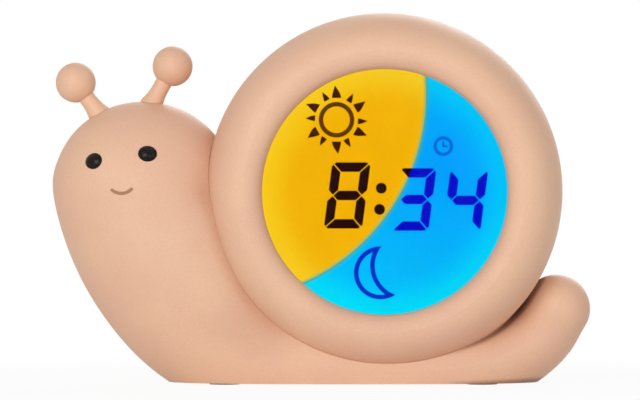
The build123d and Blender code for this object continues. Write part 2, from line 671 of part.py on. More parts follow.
def ribbon():
    """Flat flexible lead from the display's ledge, over the light box, to the main board."""
    ledge_y = LCD_Y + LCD_T / 2 + RIBBON_T / 2
    top = LCD_LEDGE_TOP + RIBBON_OUT
    end_y = BOARD_Y - CONNECTOR_H / 2
    low = BOX_R + RIBBON_START
    path = FilletPolyline((ledge_y, low), (ledge_y, top), (end_y, top), (end_y, ribbon_end()),
                          radius=RIBBON_BEND)
    strip = SlotArc(path.wire(), RIBBON_T)
    face = Plane.YZ * strip
    return in_shell(extrude(Pos(-RIBBON_W / 2, 0, 0) * face, RIBBON_W, dir=(1, 0, 0)))


def ribbon_end():
    """Height at which the ribbon enters its connector."""
    return BOARD_R - CONNECTOR_IN


def divider_disc(grow):
    """Round region of the day side."""
    return Pos(DIVIDER_DX, DIVIDER_DZ) * Circle(DIVIDER_R + grow)


def box_outline(bore_r):
    """Round outline with ears that the light box and its board share."""
    sketch = Circle(BOX_R)
    for angle in EAR_ANGLES:
        dx, dz = at_angle(EAR_AT_R, angle)
        sketch += Pos(dx, dz) * Circle(EAR_R)
        mid_x, mid_z = at_angle(EAR_AT_R - EAR_REACH / 2 - BOX_WALL / 2, angle)
        sketch += Pos(mid_x, mid_z) * Rot(0, 0, angle) * Rectangle(EAR_REACH + BOX_WALL, 2 * EAR_R)
    for angle in EAR_ANGLES:
        dx, dz = at_angle(EAR_AT_R, angle)
        sketch -= Pos(dx, dz) * Circle(bore_r)
    return sketch


def light_box():
    inner = BOX_R - BOX_WALL
    box = plate(Circle(BOX_R), BOX_Y, BOX_REAR_Y)
    box += plate(box_outline(SHANK_R + FIT), BOX_REAR_Y - EAR_T, BOX_REAR_Y)
    box -= plate(Circle(inner), BOX_Y - 1, BOX_REAR_Y + 1)
    ledge_y = BOX_Y + FIT + DIFFUSER_T
    reach = inner + BOX_WALL / 2
    box += plate(Circle(reach) - Circle(inner - BOX_LEDGE), ledge_y, ledge_y + LEDGE_T)
    wall = (divider_disc(DIVIDER_T / 2) - divider_disc(-DIVIDER_T / 2)) & Circle(reach)
    return in_shell(box + plate(wall, BOX_Y, BOX_REAR_Y))


def diffuser(day):
    """Milky plate behind one side of the display."""
    disc = Circle(BOX_R - BOX_WALL - FIT)
    gap = DIVIDER_T / 2 + FIT
    sketch = disc & divider_disc(-gap) if day else disc - divider_disc(gap)
    return in_shell(plate(sketch, BOX_Y + FIT, BOX_Y + FIT + DIFFUSER_T))


def led_board():
    return in_shell(plate(box_outline(SHANK_R + SCREW_FIT), BOX_REAR_Y, LED_BOARD_REAR_Y))


def leds(day):
    """The lamps of one side, on a square grid, clear of the wall between the sides."""
    count = int(LED_FIELD_R / LED_PITCH) + 1
    lamps = []
    for col in range(-count, count + 1):
        for row in range(-count, count + 1):
            dx, dz = col * LED_PITCH, row * LED_PITCH
            side = DIVIDER_R - hypot(dx - DIVIDER_DX, dz - DIVIDER_DZ)
            if hypot(dx, dz) > LED_FIELD_R or abs(side) < LED_WALL_GAP or (side > 0) != day:
                continue
            lamp = block(dx - LED_L / 2, dx + LED_L / 2, BOX_REAR_Y - LED_H, BOX_REAR_Y,
                         dz - LED_W / 2, dz + LED_W / 2)
            lamps.append(in_shell(lamp))
    return lamps


# ---- Main board and keys ----
def main_board():
    sketch = Circle(BOARD_R) & (Pos(0, BOARD_LOW + BOARD_R / 2) * Rectangle(2 * BOARD_R, BOARD_R))
    for dx, dz in BOARD_SCREWS:
        sketch -= Pos(dx, dz) * Circle(SMALL_SHANK_R + SCREW_FIT)
    for angle in SHELL_SCREW_ANGLES:
        dx, dz = at_angle(SHELL_SCREW_AT_R, angle)
        sketch -= Pos(dx, dz) * Circle(BOSS_R + KEY_GAP)
    return in_shell(plate(sketch, BOARD_Y, BOARD_REAR_Y))


def board_chips():
    """The controller, the ribbon's connector and smaller parts on the board's front face."""
    chips = [block(-5, 5, BOARD_Y - CHIP_H, BOARD_Y, 20, 30),
             block(12, 16, BOARD_Y - CHIP_H, BOARD_Y, 27, 32),
             block(-17, -13, BOARD_Y - CHIP_H, BOARD_Y, 25, 30)]
    connector = block(-RIBBON_W / 2 - 1, RIBBON_W / 2 + 1, BOARD_Y - CONNECTOR_H, BOARD_Y,
                      ribbon_end() - 4.0, ribbon_end() - RIBBON_T / 2 - SCREW_FIT)
    return [in_shell(chip) for chip in chips + [connector]]


def key_places():
    """Centre of each key, by name."""
    return {**KEYS, "light": LIGHT_KEY}


def tact_switches():
    half = SWITCH_SIZE / 2
    well = SWITCH_TOP_Y - PLUNGER_IN - KEY_TRAVEL - 0.3
    bodies = []
    for dx, dz in key_places().values():
        body = block(dx - half, dx + half, BOARD_REAR_Y, SWITCH_TOP_Y, dz - half, dz + half)
        bodies.append(in_shell(body - rod(dx, dz, PLUNGER_R + FIT, well, FAR)))
    return bodies


def key(name):
    """Key cap with the flange that keeps it behind the panel, and its stem."""
    dx, dz = key_places()[name]
    flange_y = PANEL_IN_Y - KEY_GAP
    low_y = flange_y - KEY_FLANGE_T
    if name == "light":
        cap = plate(Pos(dx, dz) * SlotOverall(LIGHT_KEY_W, 2 * KEY_R), low_y, PANEL_OUT_Y + KEY_PROUD)
        wide = SlotOverall(LIGHT_KEY_W + 2 * KEY_FLANGE, 2 * (KEY_R + KEY_FLANGE))
        flange = plate(Pos(dx, dz) * wide, low_y, flange_y)
    else:
        cap = rod(dx, dz, KEY_R, low_y, PANEL_OUT_Y + KEY_PROUD)
        flange = rod(dx, dz, KEY_R + KEY_FLANGE, low_y, flange_y)
    rim = cap.edges().group_by(Axis.Y)[-1]
    cap = fillet(rim, KEY_PROUD * 0.6)
    return in_shell(cap + flange + rod(dx, dz, STEM_R, SWITCH_TOP_Y + PLUNGER_OUT, low_y))


def plunger(name):
    """The switch's own plunger, which the key pushes."""
    dx, dz = key_places()[name]
    return in_shell(rod(dx, dz, PLUNGER_R, SWITCH_TOP_Y - PLUNGER_IN, SWITCH_TOP_Y + PLUNGER_OUT))


def slide_switch():
    top_y = BOARD_REAR_Y + SLIDER_BODY_H
    body = block(-SLIDER_BODY_L / 2, SLIDER_BODY_L / 2, BOARD_REAR_Y, top_y,
                 -SLIDER_BODY_W / 2, SLIDER_BODY_W / 2)
    half = (KNOB_L + SLIDER_TRAVEL) / 2 + FIT
    body -= block(-half, half, top_y - SLIDER_WELL - FIT, top_y + 1, -KNOB_W / 2 - FIT, KNOB_W / 2 + FIT)
    return in_shell(Pos(SLIDER_DX, 0, SLIDER_DZ) * body)


def slide_knob():
    """Knob at the left end of its travel."""
    low_y = BOARD_REAR_Y + SLIDER_BODY_H - SLIDER_WELL
    x0 = SLIDER_DX - (KNOB_L + SLIDER_TRAVEL) / 2
    top_y = PANEL_OUT_Y + KNOB_PROUD
    z0, z1 = SLIDER_DZ - KNOB_W / 2, SLIDER_DZ + KNOB_W / 2
    knob = block(x0, x0 + KNOB_L, low_y, top_y, z0, z1)
    for step in (-1, 0, 1):
        x = x0 + KNOB_L / 2 + step * KNOB_GROOVE_PITCH
        groove = block(-KNOB_GROOVE / 2, KNOB_GROOVE / 2, top_y - KNOB_GROOVE, top_y + 1, z0 - 1, z1 + 1)
        knob -= Pos(x, 0, 0) * groove
    return in_shell(knob)


# ---- Battery bay ----
def tab_block(dz, gap, y0, y1, x_in):
    """Block about one of the door's tabs, dz from the middle of the bay."""
    edge = -(BAY_HALF_W + DOOR_LEDGE - DOOR_GAP)
    half = DOOR_TAB_W / 2 + gap
    return block(edge - DOOR_TAB_OUT - gap, edge + x_in, y0, y1, BAY_DZ + dz - half, BAY_DZ + dz + half)


def battery_tray():
    out_w, out_h = BAY_HALF_W + BAY_WALL, BAY_HALF_H + BAY_WALL
    tray = block(-out_w, out_w, BAY_FLOOR_Y - BAY_WALL, PANEL_IN_Y, BAY_DZ - out_h, BAY_DZ + out_h)
    for dx, dz in TRAY_EARS:
        ear_y = PANEL_IN_Y - TRAY_EAR_DROP
        reach = dx * 0.82
        tray += rod(dx, dz, SMALL_BOSS_R + 0.6, ear_y - TRAY_EAR_T, ear_y)
        tray += block(min(dx, reach), max(dx, reach), ear_y - TRAY_EAR_T, ear_y,
                      dz - SMALL_BOSS_R - 0.6, dz + SMALL_BOSS_R + 0.6)
    tray += rod(DOOR_EAR_DX, BAY_DZ, DOOR_BOSS_R, PANEL_IN_Y - DOOR_BOSS_L, PANEL_IN_Y)
    tray += block(BAY_HALF_W + 0.5, DOOR_EAR_DX, PANEL_IN_Y - DOOR_BOSS_L, PANEL_IN_Y,
                  BAY_DZ - DOOR_BOSS_R * 0.6, BAY_DZ + DOOR_BOSS_R * 0.6)
    tray -= block(-BAY_HALF_W, BAY_HALF_W, BAY_FLOOR_Y, FAR, BAY_DZ - BAY_HALF_H, BAY_DZ + BAY_HALF_H)
    for dx, dz in TRAY_EARS:
        tray -= rod(dx, dz, SMALL_SHANK_R + SCREW_FIT, -FAR, PANEL_IN_Y - TRAY_EAR_DROP + 1)
    tray -= rod(DOOR_EAR_DX, BAY_DZ, SHANK_R + DOOR_SCREW_CLEAR, PANEL_IN_Y - DOOR_BOSS_L + 1.5, FAR)
    for dz in DOOR_TABS:
        tray -= tab_block(dz, 0.5, PANEL_IN_Y - DOOR_TAB_T - 1.6, FAR, 3.0)
    for side in (-1, 1):
        z = BAY_DZ + side * CELL_PITCH / 2
        x = CELL_L / 2 - CONTACT_W / 2
        tray += block(-x, x, BAY_FLOOR_Y - FIT, BAY_FLOOR_Y + RIB_H, z - RIB_T / 2, z + RIB_T / 2)
    return in_shell(tray)


def battery_door():
    door = plate(door_outline(0.0), DOOR_Y, PANEL_OUT_Y)
    for dz in DOOR_TABS:
        door += tab_block(dz, 0.0, PANEL_IN_Y - 0.3 - DOOR_TAB_T, PANEL_IN_Y - 0.3, 1.6)
        web = tab_block(dz, 0.0, PANEL_IN_Y - 0.3, DOOR_Y, 1.6)
        door += web & block(-(BAY_HALF_W + DOOR_LEDGE - DOOR_GAP), 0, 0, FAR, -FAR, FAR)
    for row in range(DOOR_GRIPS):
        dz = BAY_DZ + (row - (DOOR_GRIPS - 1) / 2) * DOOR_GRIP_PITCH
        x0 = DOOR_GRIP_IN - BAY_HALF_W
        door -= block(x0, x0 + DOOR_GRIP_L, PANEL_OUT_Y - DOOR_GRIP_DEEP, FAR,
                      dz - DOOR_GRIP_W / 2, dz + DOOR_GRIP_W / 2)
    door -= rod(DOOR_EAR_DX, BAY_DZ, SHANK_R + SCREW_FIT, 0, FAR)
    door -= rod(DOOR_EAR_DX, BAY_DZ, DOOR_SCREW_HEAD_R + 0.2, door_screw_seat(), FAR)
    return in_shell(door)


def door_screw_seat():
    """Level of the recess that takes the door screw's head."""
    return PANEL_OUT_Y - DOOR_SCREW_HEAD_T - 0.1


def door_screw():
    seat = door_screw_seat() + SCREW_FIT
    return in_shell(screw(DOOR_EAR_DX, BAY_DZ, seat, SHANK_R, DOOR_SCREW_L,
                          DOOR_SCREW_HEAD_R, DOOR_SCREW_HEAD_T))


def cell_rows():
    """Height of each cell's axis and the side of its positive end."""
    return [(BAY_DZ + (row - 1) * CELL_PITCH, -1 if row % 2 else 1) for row in range(3)]


def cell(dz, side):
    """AAA cell with its nub on one side."""
    can = Rot(0, 90, 0) * Cylinder(CELL_D / 2, CELL_L)
    can = fillet(can.edges(), 0.5)
    nub = Pos(side * (CELL_L + CELL_NUB_L) / 2, 0, 0) * Rot(0, 90, 0) * Cylinder(CELL_NUB_R, CELL_NUB_L)
    shift = -side * (CELL_NUB_L / 2) + side * cell_shift()
    return in_shell(Pos(shift, CELL_Y, dz) * (can + nub))


def cell_shift():
    """How far a cell sits towards its flat contact."""
    return BAY_HALF_W - CONTACT_T - (CELL_L + CELL_NUB_L) / 2 - SCREW_FIT


def battery_contacts():
    """Flat contact at each end of each cell."""
    plates = []
    for dz, _ in cell_rows():
        for side in (-1, 1):
            x = side * (BAY_HALF_W - CONTACT_T / 2)
            contact = block(x - CONTACT_T / 2, x + CONTACT_T / 2, BAY_FLOOR_Y, BAY_FLOOR_Y + CONTACT_W,
                            dz - CONTACT_W / 2, dz + CONTACT_W / 2)
            plates.append(in_shell(contact))
    return plates


def battery_springs():
    """Coil spring between each cell's flat end and its contact."""
    springs = []
    for dz, side in cell_rows():
        x0 = -side * (BAY_HALF_W - CONTACT_T - SPRING_WIRE_R)
        cell_end = -side * CELL_L / 2 - side * (CELL_NUB_L / 2) + side * cell_shift()
        room = abs(x0 - cell_end) - SPRING_WIRE_R
        path = Helix(room / SPRING_TURNS, room, SPRING_R, direction=(side, 0, 0))
        section = Plane(origin=path @ 0, z_dir=path % 0) * Circle(SPRING_WIRE_R)
        spring = sweep(section, path=path)
        springs.append(in_shell(Pos(x0, CELL_Y - 0.8, dz) * spring))
    return springs


# ---- USB inlet ----
def usb_board():
    sketch = Pos(0, USB_DZ) * Rectangle(USB_BOARD_W, USB_BOARD_H)
    for dx in (-USB_SCREW_DX, USB_SCREW_DX):
        sketch -= Pos(dx, USB_DZ) * Circle(SMALL_SHANK_R + SCREW_FIT)
    return in_shell(plate(sketch, USB_BOARD_Y, USB_BOARD_REAR_Y))


def usb_socket():
    top_y = USB_BOARD_REAR_Y + USB_DEPTH
    hole = SlotOverall(USB_W - 2 * USB_SHELL_T, USB_H - 2 * USB_SHELL_T)
    floor_y = top_y - USB_CAVITY
    body = plate(SlotOverall(USB_W, USB_H), USB_BOARD_REAR_Y, top_y) - plate(hole, floor_y, top_y + 1)
    body += block(-USB_TONGUE_W / 2, USB_TONGUE_W / 2, floor_y - USB_SHELL_T, floor_y + USB_TONGUE_L,
                  -USB_TONGUE_T / 2, USB_TONGUE_T / 2)
    return in_shell(Pos(0, 0, USB_DZ) * body)


# ---- Loudspeaker ----
def speaker_frame():
    flange_y = SPEAKER_SEAT_Y - SPEAKER_FLANGE_T
    back_y = flange_y - SPEAKER_BASKET_H
    outer = Polyline((SPEAKER_R, SPEAKER_SEAT_Y), (SPEAKER_R, flange_y), (SPEAKER_BASKET_R, flange_y),
                     (MAGNET_R, back_y), (2.0, back_y), (2.0, back_y + 0.8), (MAGNET_R - 0.4, back_y + 0.8),
                     (SPEAKER_BASKET_R - 0.8, SPEAKER_SEAT_Y), (SPEAKER_R, SPEAKER_SEAT_Y))
    return Pos(SPEAKER_X, 0, SPEAKER_Z) * revolve(make_face(outer), Axis.Y, 360)


def speaker_cone():
    rim_y = SPEAKER_SEAT_Y - 0.4
    r = SPEAKER_BASKET_R - 1.9
    outline = Polyline((r, rim_y), (r, rim_y - 0.5), (3.2, rim_y - 4.2), (0, rim_y - 3.4), (0, rim_y - 2.9),
                       (3.0, rim_y - 3.6), (r - 1.0, rim_y), (r, rim_y))
    return Pos(SPEAKER_X, 0, SPEAKER_Z) * revolve(make_face(outline), Axis.Y, 360)


def speaker_magnet():
    back_y = SPEAKER_SEAT_Y - SPEAKER_FLANGE_T - SPEAKER_BASKET_H
    return rod(SPEAKER_X, SPEAKER_Z, MAGNET_R, back_y - MAGNET_H, back_y)


# ---- Leads ----
def shell_point(dx, y, dz):
    """Point given from the shell's axis."""
    return SHELL_X + dx, y, SHELL_Z + dz


def run_lead(points, share=0.4):
    """Lead along points, with each arc as large as its runs allow."""
    vectors = [Vector(*point) for point in points]
    radii = []
    for before, here, after in zip(vectors, vectors[1:], vectors[2:]):
        half_turn = radians((here - before).get_angle(after - here)) / 2
        run = min((here - before).length, (after - here).length)
        radii.append(share * run * cos(half_turn) / sin(half_turn))
    path = FilletPolyline(*points, radius=radii)
    section = Plane(origin=path @ 0, z_dir=path % 0) * Circle(LEAD_R)
    return sweep(section, path=path)


def speaker_lead():
    """From the basket, through the cradle, to the main board."""
    out_dx, out_dz = at_angle(SHELL_R + 6.0, LEAD_ANGLE)
    in_dx, in_dz = at_angle(SHELL_R - 5.0, LEAD_ANGLE)
    edge_x = SPEAKER_X + SPEAKER_BASKET_R * 0.8
    return run_lead([(edge_x + LEAD_R, LEAD_Y - 0.2, SPEAKER_Z + 4.6), shell_point(out_dx, LEAD_Y, out_dz),
                     shell_point(in_dx, LEAD_Y, in_dz), shell_point(-44.0, 7.5, 4.0),
                     shell_point(-37.0, 8.5, 19.0), shell_point(-35.0, BOARD_Y - 3.0, 22.0),
                     shell_point(-35.0, BOARD_Y, 22.0)])


def battery_lead():
    """From the side of the battery tray to the main board."""
    wall = -(BAY_HALF_W + BAY_WALL)
    side_y = BOARD_Y - 1.5
    return run_lead([shell_point(wall, side_y, 2.0), shell_point(wall - 2.4, side_y, 2.0),
                     shell_point(wall - 4.4, BOARD_Y - 4.7, 7.0), shell_point(-27.0, BOARD_Y - 5.3, 16.0),
                     shell_point(-25.0, BOARD_Y - 3.1, 20.0), shell_point(-25.0, BOARD_Y, 20.0)])


def led_lead():
    """From the lamps' board to the main board."""
    start_y = LED_BOARD_REAR_Y
    return run_lead([shell_point(22.0, start_y, 14.0), shell_point(22.0, start_y + 3.4, 14.0),
                     shell_point(23.6, start_y + 8.8, 20.0), shell_point(26.4, BOARD_Y - 4.5, 23.6),
                     shell_point(26.4, BOARD_Y, 23.6)])


def usb_lead():
    """From the USB board, in front of the battery tray, to the main board."""
    front_y = BAY_FLOOR_Y - BAY_WALL - 3.0
    return run_lead([shell_point(-4.0, USB_BOARD_Y, USB_DZ), shell_point(-4.0, USB_BOARD_Y - 3.5, USB_DZ),
                     shell_point(-6.0, front_y, USB_DZ + 9.0), shell_point(-11.0, front_y - 0.6, -10.0),
                     shell_point(-12.0, front_y + 0.4, 6.0), shell_point(-11.0, BOARD_Y - 4.0, 16.0),
                     shell_point(-11.0, BOARD_Y, 16.0)])


# ---- Write the pieces ----
def make_body():
    form = body_form(0.0)
    skin = form - body_form(SMILE_T)
    front, rear = body_shells(form, body_form(BODY_WALL), skin)
    save("body_front_shell", front)
    save("body_rear_shell", rear)
    clear_form = body_form(-SCREW_FIT)
    for name, place in ANTENNAE.items():
        save(name, antenna(place, clear_form))
    for name, (x, z) in EYES.items():
        save(name, eye(x, z))
    save("smile_inlay", smile_band(0.0) & (form - body_form(SMILE_T - SCREW_FIT)))
    head_r = SHELL_SCREW_HEAD_R
    save("body_screws", *[screw(x, z, BODY_SCREW_SEAT_Y, SHANK_R, BODY_SCREW_L, head_r, HEAD_T)
                          for x, z in BODY_SCREWS])
    save("rubber_feet", *[foot_at(x, y, FOOT_R, FOOT_T) for x, y in FEET])


def make_shell():
    save("shell_front_ring", shell_front_ring())
    save("shell_rear_cover", shell_rear_cover())
    places = [at_angle(SHELL_SCREW_AT_R, a) for a in SHELL_SCREW_ANGLES]
    save("shell_screws", *[in_shell(screw(dx, dz, SHELL_SCREW_SEAT_Y, SHANK_R, SHELL_SCREW_L,
                                          SHELL_SCREW_HEAD_R, HEAD_T)) for dx, dz in places])


def make_display():
    save("window_seal", window_seal())
    save("display_window", display_window())
    save("lcd_panel", lcd_panel())
    save("display_ribbon", ribbon())
    save("light_box", light_box())
    save("day_diffuser", diffuser(True))
    save("night_diffuser", diffuser(False))
    save("led_board", led_board())
    save("amber_leds", *leds(True))
    save("blue_leds", *leds(False))
    places = [at_angle(EAR_AT_R, a) for a in EAR_ANGLES]
    save("light_box_screws", *[in_shell(screw(dx, dz, LED_BOARD_REAR_Y, SHANK_R, BOX_SCREW_L, 2.2, HEAD_T))
                               for dx, dz in places])


def make_controls():
    save("main_board", main_board())
    save("board_chips", *board_chips())
    save("tact_switches", *tact_switches())
    for name in key_places():
        save(f"{name}_key", key(name))
        save(f"{name}_plunger", plunger(name))
    save("alarm_slide_switch", slide_switch())
    save("alarm_slide_knob", slide_knob())
    save("main_board_screws", *[in_shell(front_screw(dx, dz, BOARD_Y, SMALL_SHANK_R, SMALL_SCREW_L,
                                                     SMALL_HEAD_R, SMALL_HEAD_T)) for dx, dz in BOARD_SCREWS])


def make_power():
    save("battery_tray", battery_tray())
    save("battery_door", battery_door())
    save("battery_door_screw", door_screw())
    for number, (dz, side) in enumerate(cell_rows(), start=1):
        save(f"battery_{number}", cell(dz, side))
    save("battery_contacts", *battery_contacts())
    save("battery_springs", *battery_springs())
    seat = PANEL_IN_Y - TRAY_EAR_DROP - TRAY_EAR_T
    save("tray_screws", *[in_shell(front_screw(dx, dz, seat, SMALL_SHANK_R, SMALL_SCREW_L,
                                               SMALL_HEAD_R, SMALL_HEAD_T)) for dx, dz in TRAY_EARS])
    save("usb_board", usb_board())
    save("usb_socket", usb_socket())
    save("usb_board_screws", *[in_shell(front_screw(dx, USB_DZ, USB_BOARD_Y, SMALL_SHANK_R, USB_SCREW_L,
                                                    SMALL_HEAD_R, SMALL_HEAD_T))
                               for dx in (-USB_SCREW_DX, USB_SCREW_DX)])


def make_speaker():
    save("speaker_frame", speaker_frame())
    save("speaker_cone", speaker_cone())
    save("speaker_magnet", speaker_magnet())


def make_leads():
    save("speaker_lead", speaker_lead())
    save("battery_lead", battery_lead())
    save("led_lead", led_lead())
    save("usb_lead", usb_lead())


make_body()
make_shell()
make_display()
make_controls()
make_power()
make_speaker()
make_leads()
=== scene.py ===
"""Finishes, display signs, trim and studio of a child's snail alarm clock with a night light.

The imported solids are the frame: +X points to the tail, -Y to the front and +Z up. Sizes in the
classes below are in millimetres, and every finished mesh is in metres.
"""
import logging
from collections.abc import Callable, Iterable, Iterator, Mapping
from contextlib import contextmanager
from dataclasses import dataclass, field, replace
from enum import Enum
from math import cos, hypot, pi, radians, sin, tan
from typing import Any, ClassVar

import bmesh
import bpy
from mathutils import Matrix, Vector


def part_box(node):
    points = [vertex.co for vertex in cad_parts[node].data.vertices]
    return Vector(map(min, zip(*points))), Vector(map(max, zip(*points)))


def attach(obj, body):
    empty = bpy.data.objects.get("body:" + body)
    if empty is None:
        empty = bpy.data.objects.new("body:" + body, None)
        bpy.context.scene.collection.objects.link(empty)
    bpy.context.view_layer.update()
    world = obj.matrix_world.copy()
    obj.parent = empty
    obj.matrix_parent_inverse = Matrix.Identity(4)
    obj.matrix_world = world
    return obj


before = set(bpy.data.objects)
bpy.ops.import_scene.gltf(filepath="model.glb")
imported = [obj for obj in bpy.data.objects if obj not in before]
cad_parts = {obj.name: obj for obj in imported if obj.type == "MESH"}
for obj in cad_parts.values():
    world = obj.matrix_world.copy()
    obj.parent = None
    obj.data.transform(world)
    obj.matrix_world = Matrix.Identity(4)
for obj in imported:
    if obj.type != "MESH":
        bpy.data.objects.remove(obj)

log = logging.getLogger("snail_clock")

MM = 0.001
SAME_POINT = 1e-7       # metres within which two points are one
SHELL_X = 18.8          # the shell's axis
SHELL_Z = 57.7
ARC_X = -30.7           # centre of the arc between day and night
ARC_Z = 87.0
ARC_R = 61.85
PAST = 1.0              # how far a cutter reaches past what it cuts
CELL_SIDES = {1: 1, 2: -1, 3: 1}    # the side on which each cell's positive end lies
FLAT_ANGLE = 0.1        # degrees within which faces make one flat face
SAME_LEVEL = 0.002      # millimetres within which two points are at one level
TO_FRONT = (pi / 2, 0, 0)
ROUND = 48              # sides of a small round piece
ROUNDER = 64            # sides of a larger one
CORNER_STEPS = 4        # steps in a plate's round corner
ALONG_Y = 0.5           # Y part of a normal below which the face runs along Y
SHELL_BODY = "case"     # the body of all that stays with the housing
KEYS = ("set", "alarm", "minus", "plus", "light")
Colour = tuple[float, float, float, float]
Place = tuple[float, float, float]
Piece = bpy.types.Object


def srgb(red: float, green: float, blue: float) -> Colour:
    """Turn display levels into a linear colour.

    Args:
        red: Level from 0 to 255.
        green: Level from 0 to 255.
        blue: Level from 0 to 255.

    Returns:
        The linear colour with full alpha.
    """
    shares = [level / 255 for level in (red, green, blue)]
    linear = [s / 12.92 if s <= 0.04045 else ((s + 0.055) / 1.055) ** 2.4 for s in shares]
    return linear[0], linear[1], linear[2], 1.0


def grey(level: float) -> Colour:
    """Grey of a linear level."""
    return level, level, level, 1.0


def metres(at: Place) -> Place:
    """Turn a place in millimetres into metres."""
    return at[0] * MM, at[1] * MM, at[2] * MM


# ---- Materials as expressions ----
class Value:
    """A number in a material; arithmetic on it adds Math nodes."""

    def __init__(self, recipe: "Recipe", socket: bpy.types.NodeSocket) -> None:
        """Wrap one output socket."""
        self.recipe = recipe
        self.socket = socket

    def maths(self, operation: str, *terms: "Value | float") -> "Value":
        """Add one Math node.

        Args:
            operation: Blender's name of the operation.
            terms: The operands, this value among them.

        Returns:
            The result.
        """
        node = self.recipe.node("ShaderNodeMath", {"operation": operation}, dict(enumerate(terms)))
        return Value(self.recipe, node.outputs[0])

    def __add__(self, other: "Value | float") -> "Value":
        """Sum."""
        return self.maths("ADD", self, other)

    __radd__ = __add__

    def __sub__(self, other: "Value | float") -> "Value":
        """Difference."""
        return self.maths("SUBTRACT", self, other)

    def __rsub__(self, other: float) -> "Value":
        """Difference from a number."""
        return self.maths("SUBTRACT", other, self)

    def __mul__(self, other: "Value | float") -> "Value":
        """Product."""
        return self.maths("MULTIPLY", self, other)

    def __truediv__(self, other: "Value | float") -> "Value":
        """Quotient."""
        return self.maths("DIVIDE", self, other)

    def __abs__(self) -> "Value":
        """Size without the sign."""
        return self.maths("ABSOLUTE", self)

    def hypot(self, other: "Value") -> "Value":
        """Length of the vector made of this value and another."""
        square = self * self + other * other
        return square.maths("SQRT", square)

    def most(self, other: "Value | float") -> "Value":
        """Larger of two."""
        return self.maths("MAXIMUM", self, other)

    def rise(self, low: float, high: float) -> "Value":
        """Go smoothly from 0 at one level to 1 at another.

        Args:
            low: Level where the result is 0.
            high: Level where the result is 1; it may be the lower one.

        Returns:
            A mask from 0 to 1.
        """
        ends = (low, high, 0.0, 1.0) if low < high else (high, low, 1.0, 0.0)
        names = ("From Min", "From Max", "To Min", "To Max")
        node = self.recipe.node("ShaderNodeMapRange", {"interpolation_type": "SMOOTHSTEP"},
                                {"Value": self, **dict(zip(names, ends))})
        return Value(self.recipe, node.outputs["Result"])


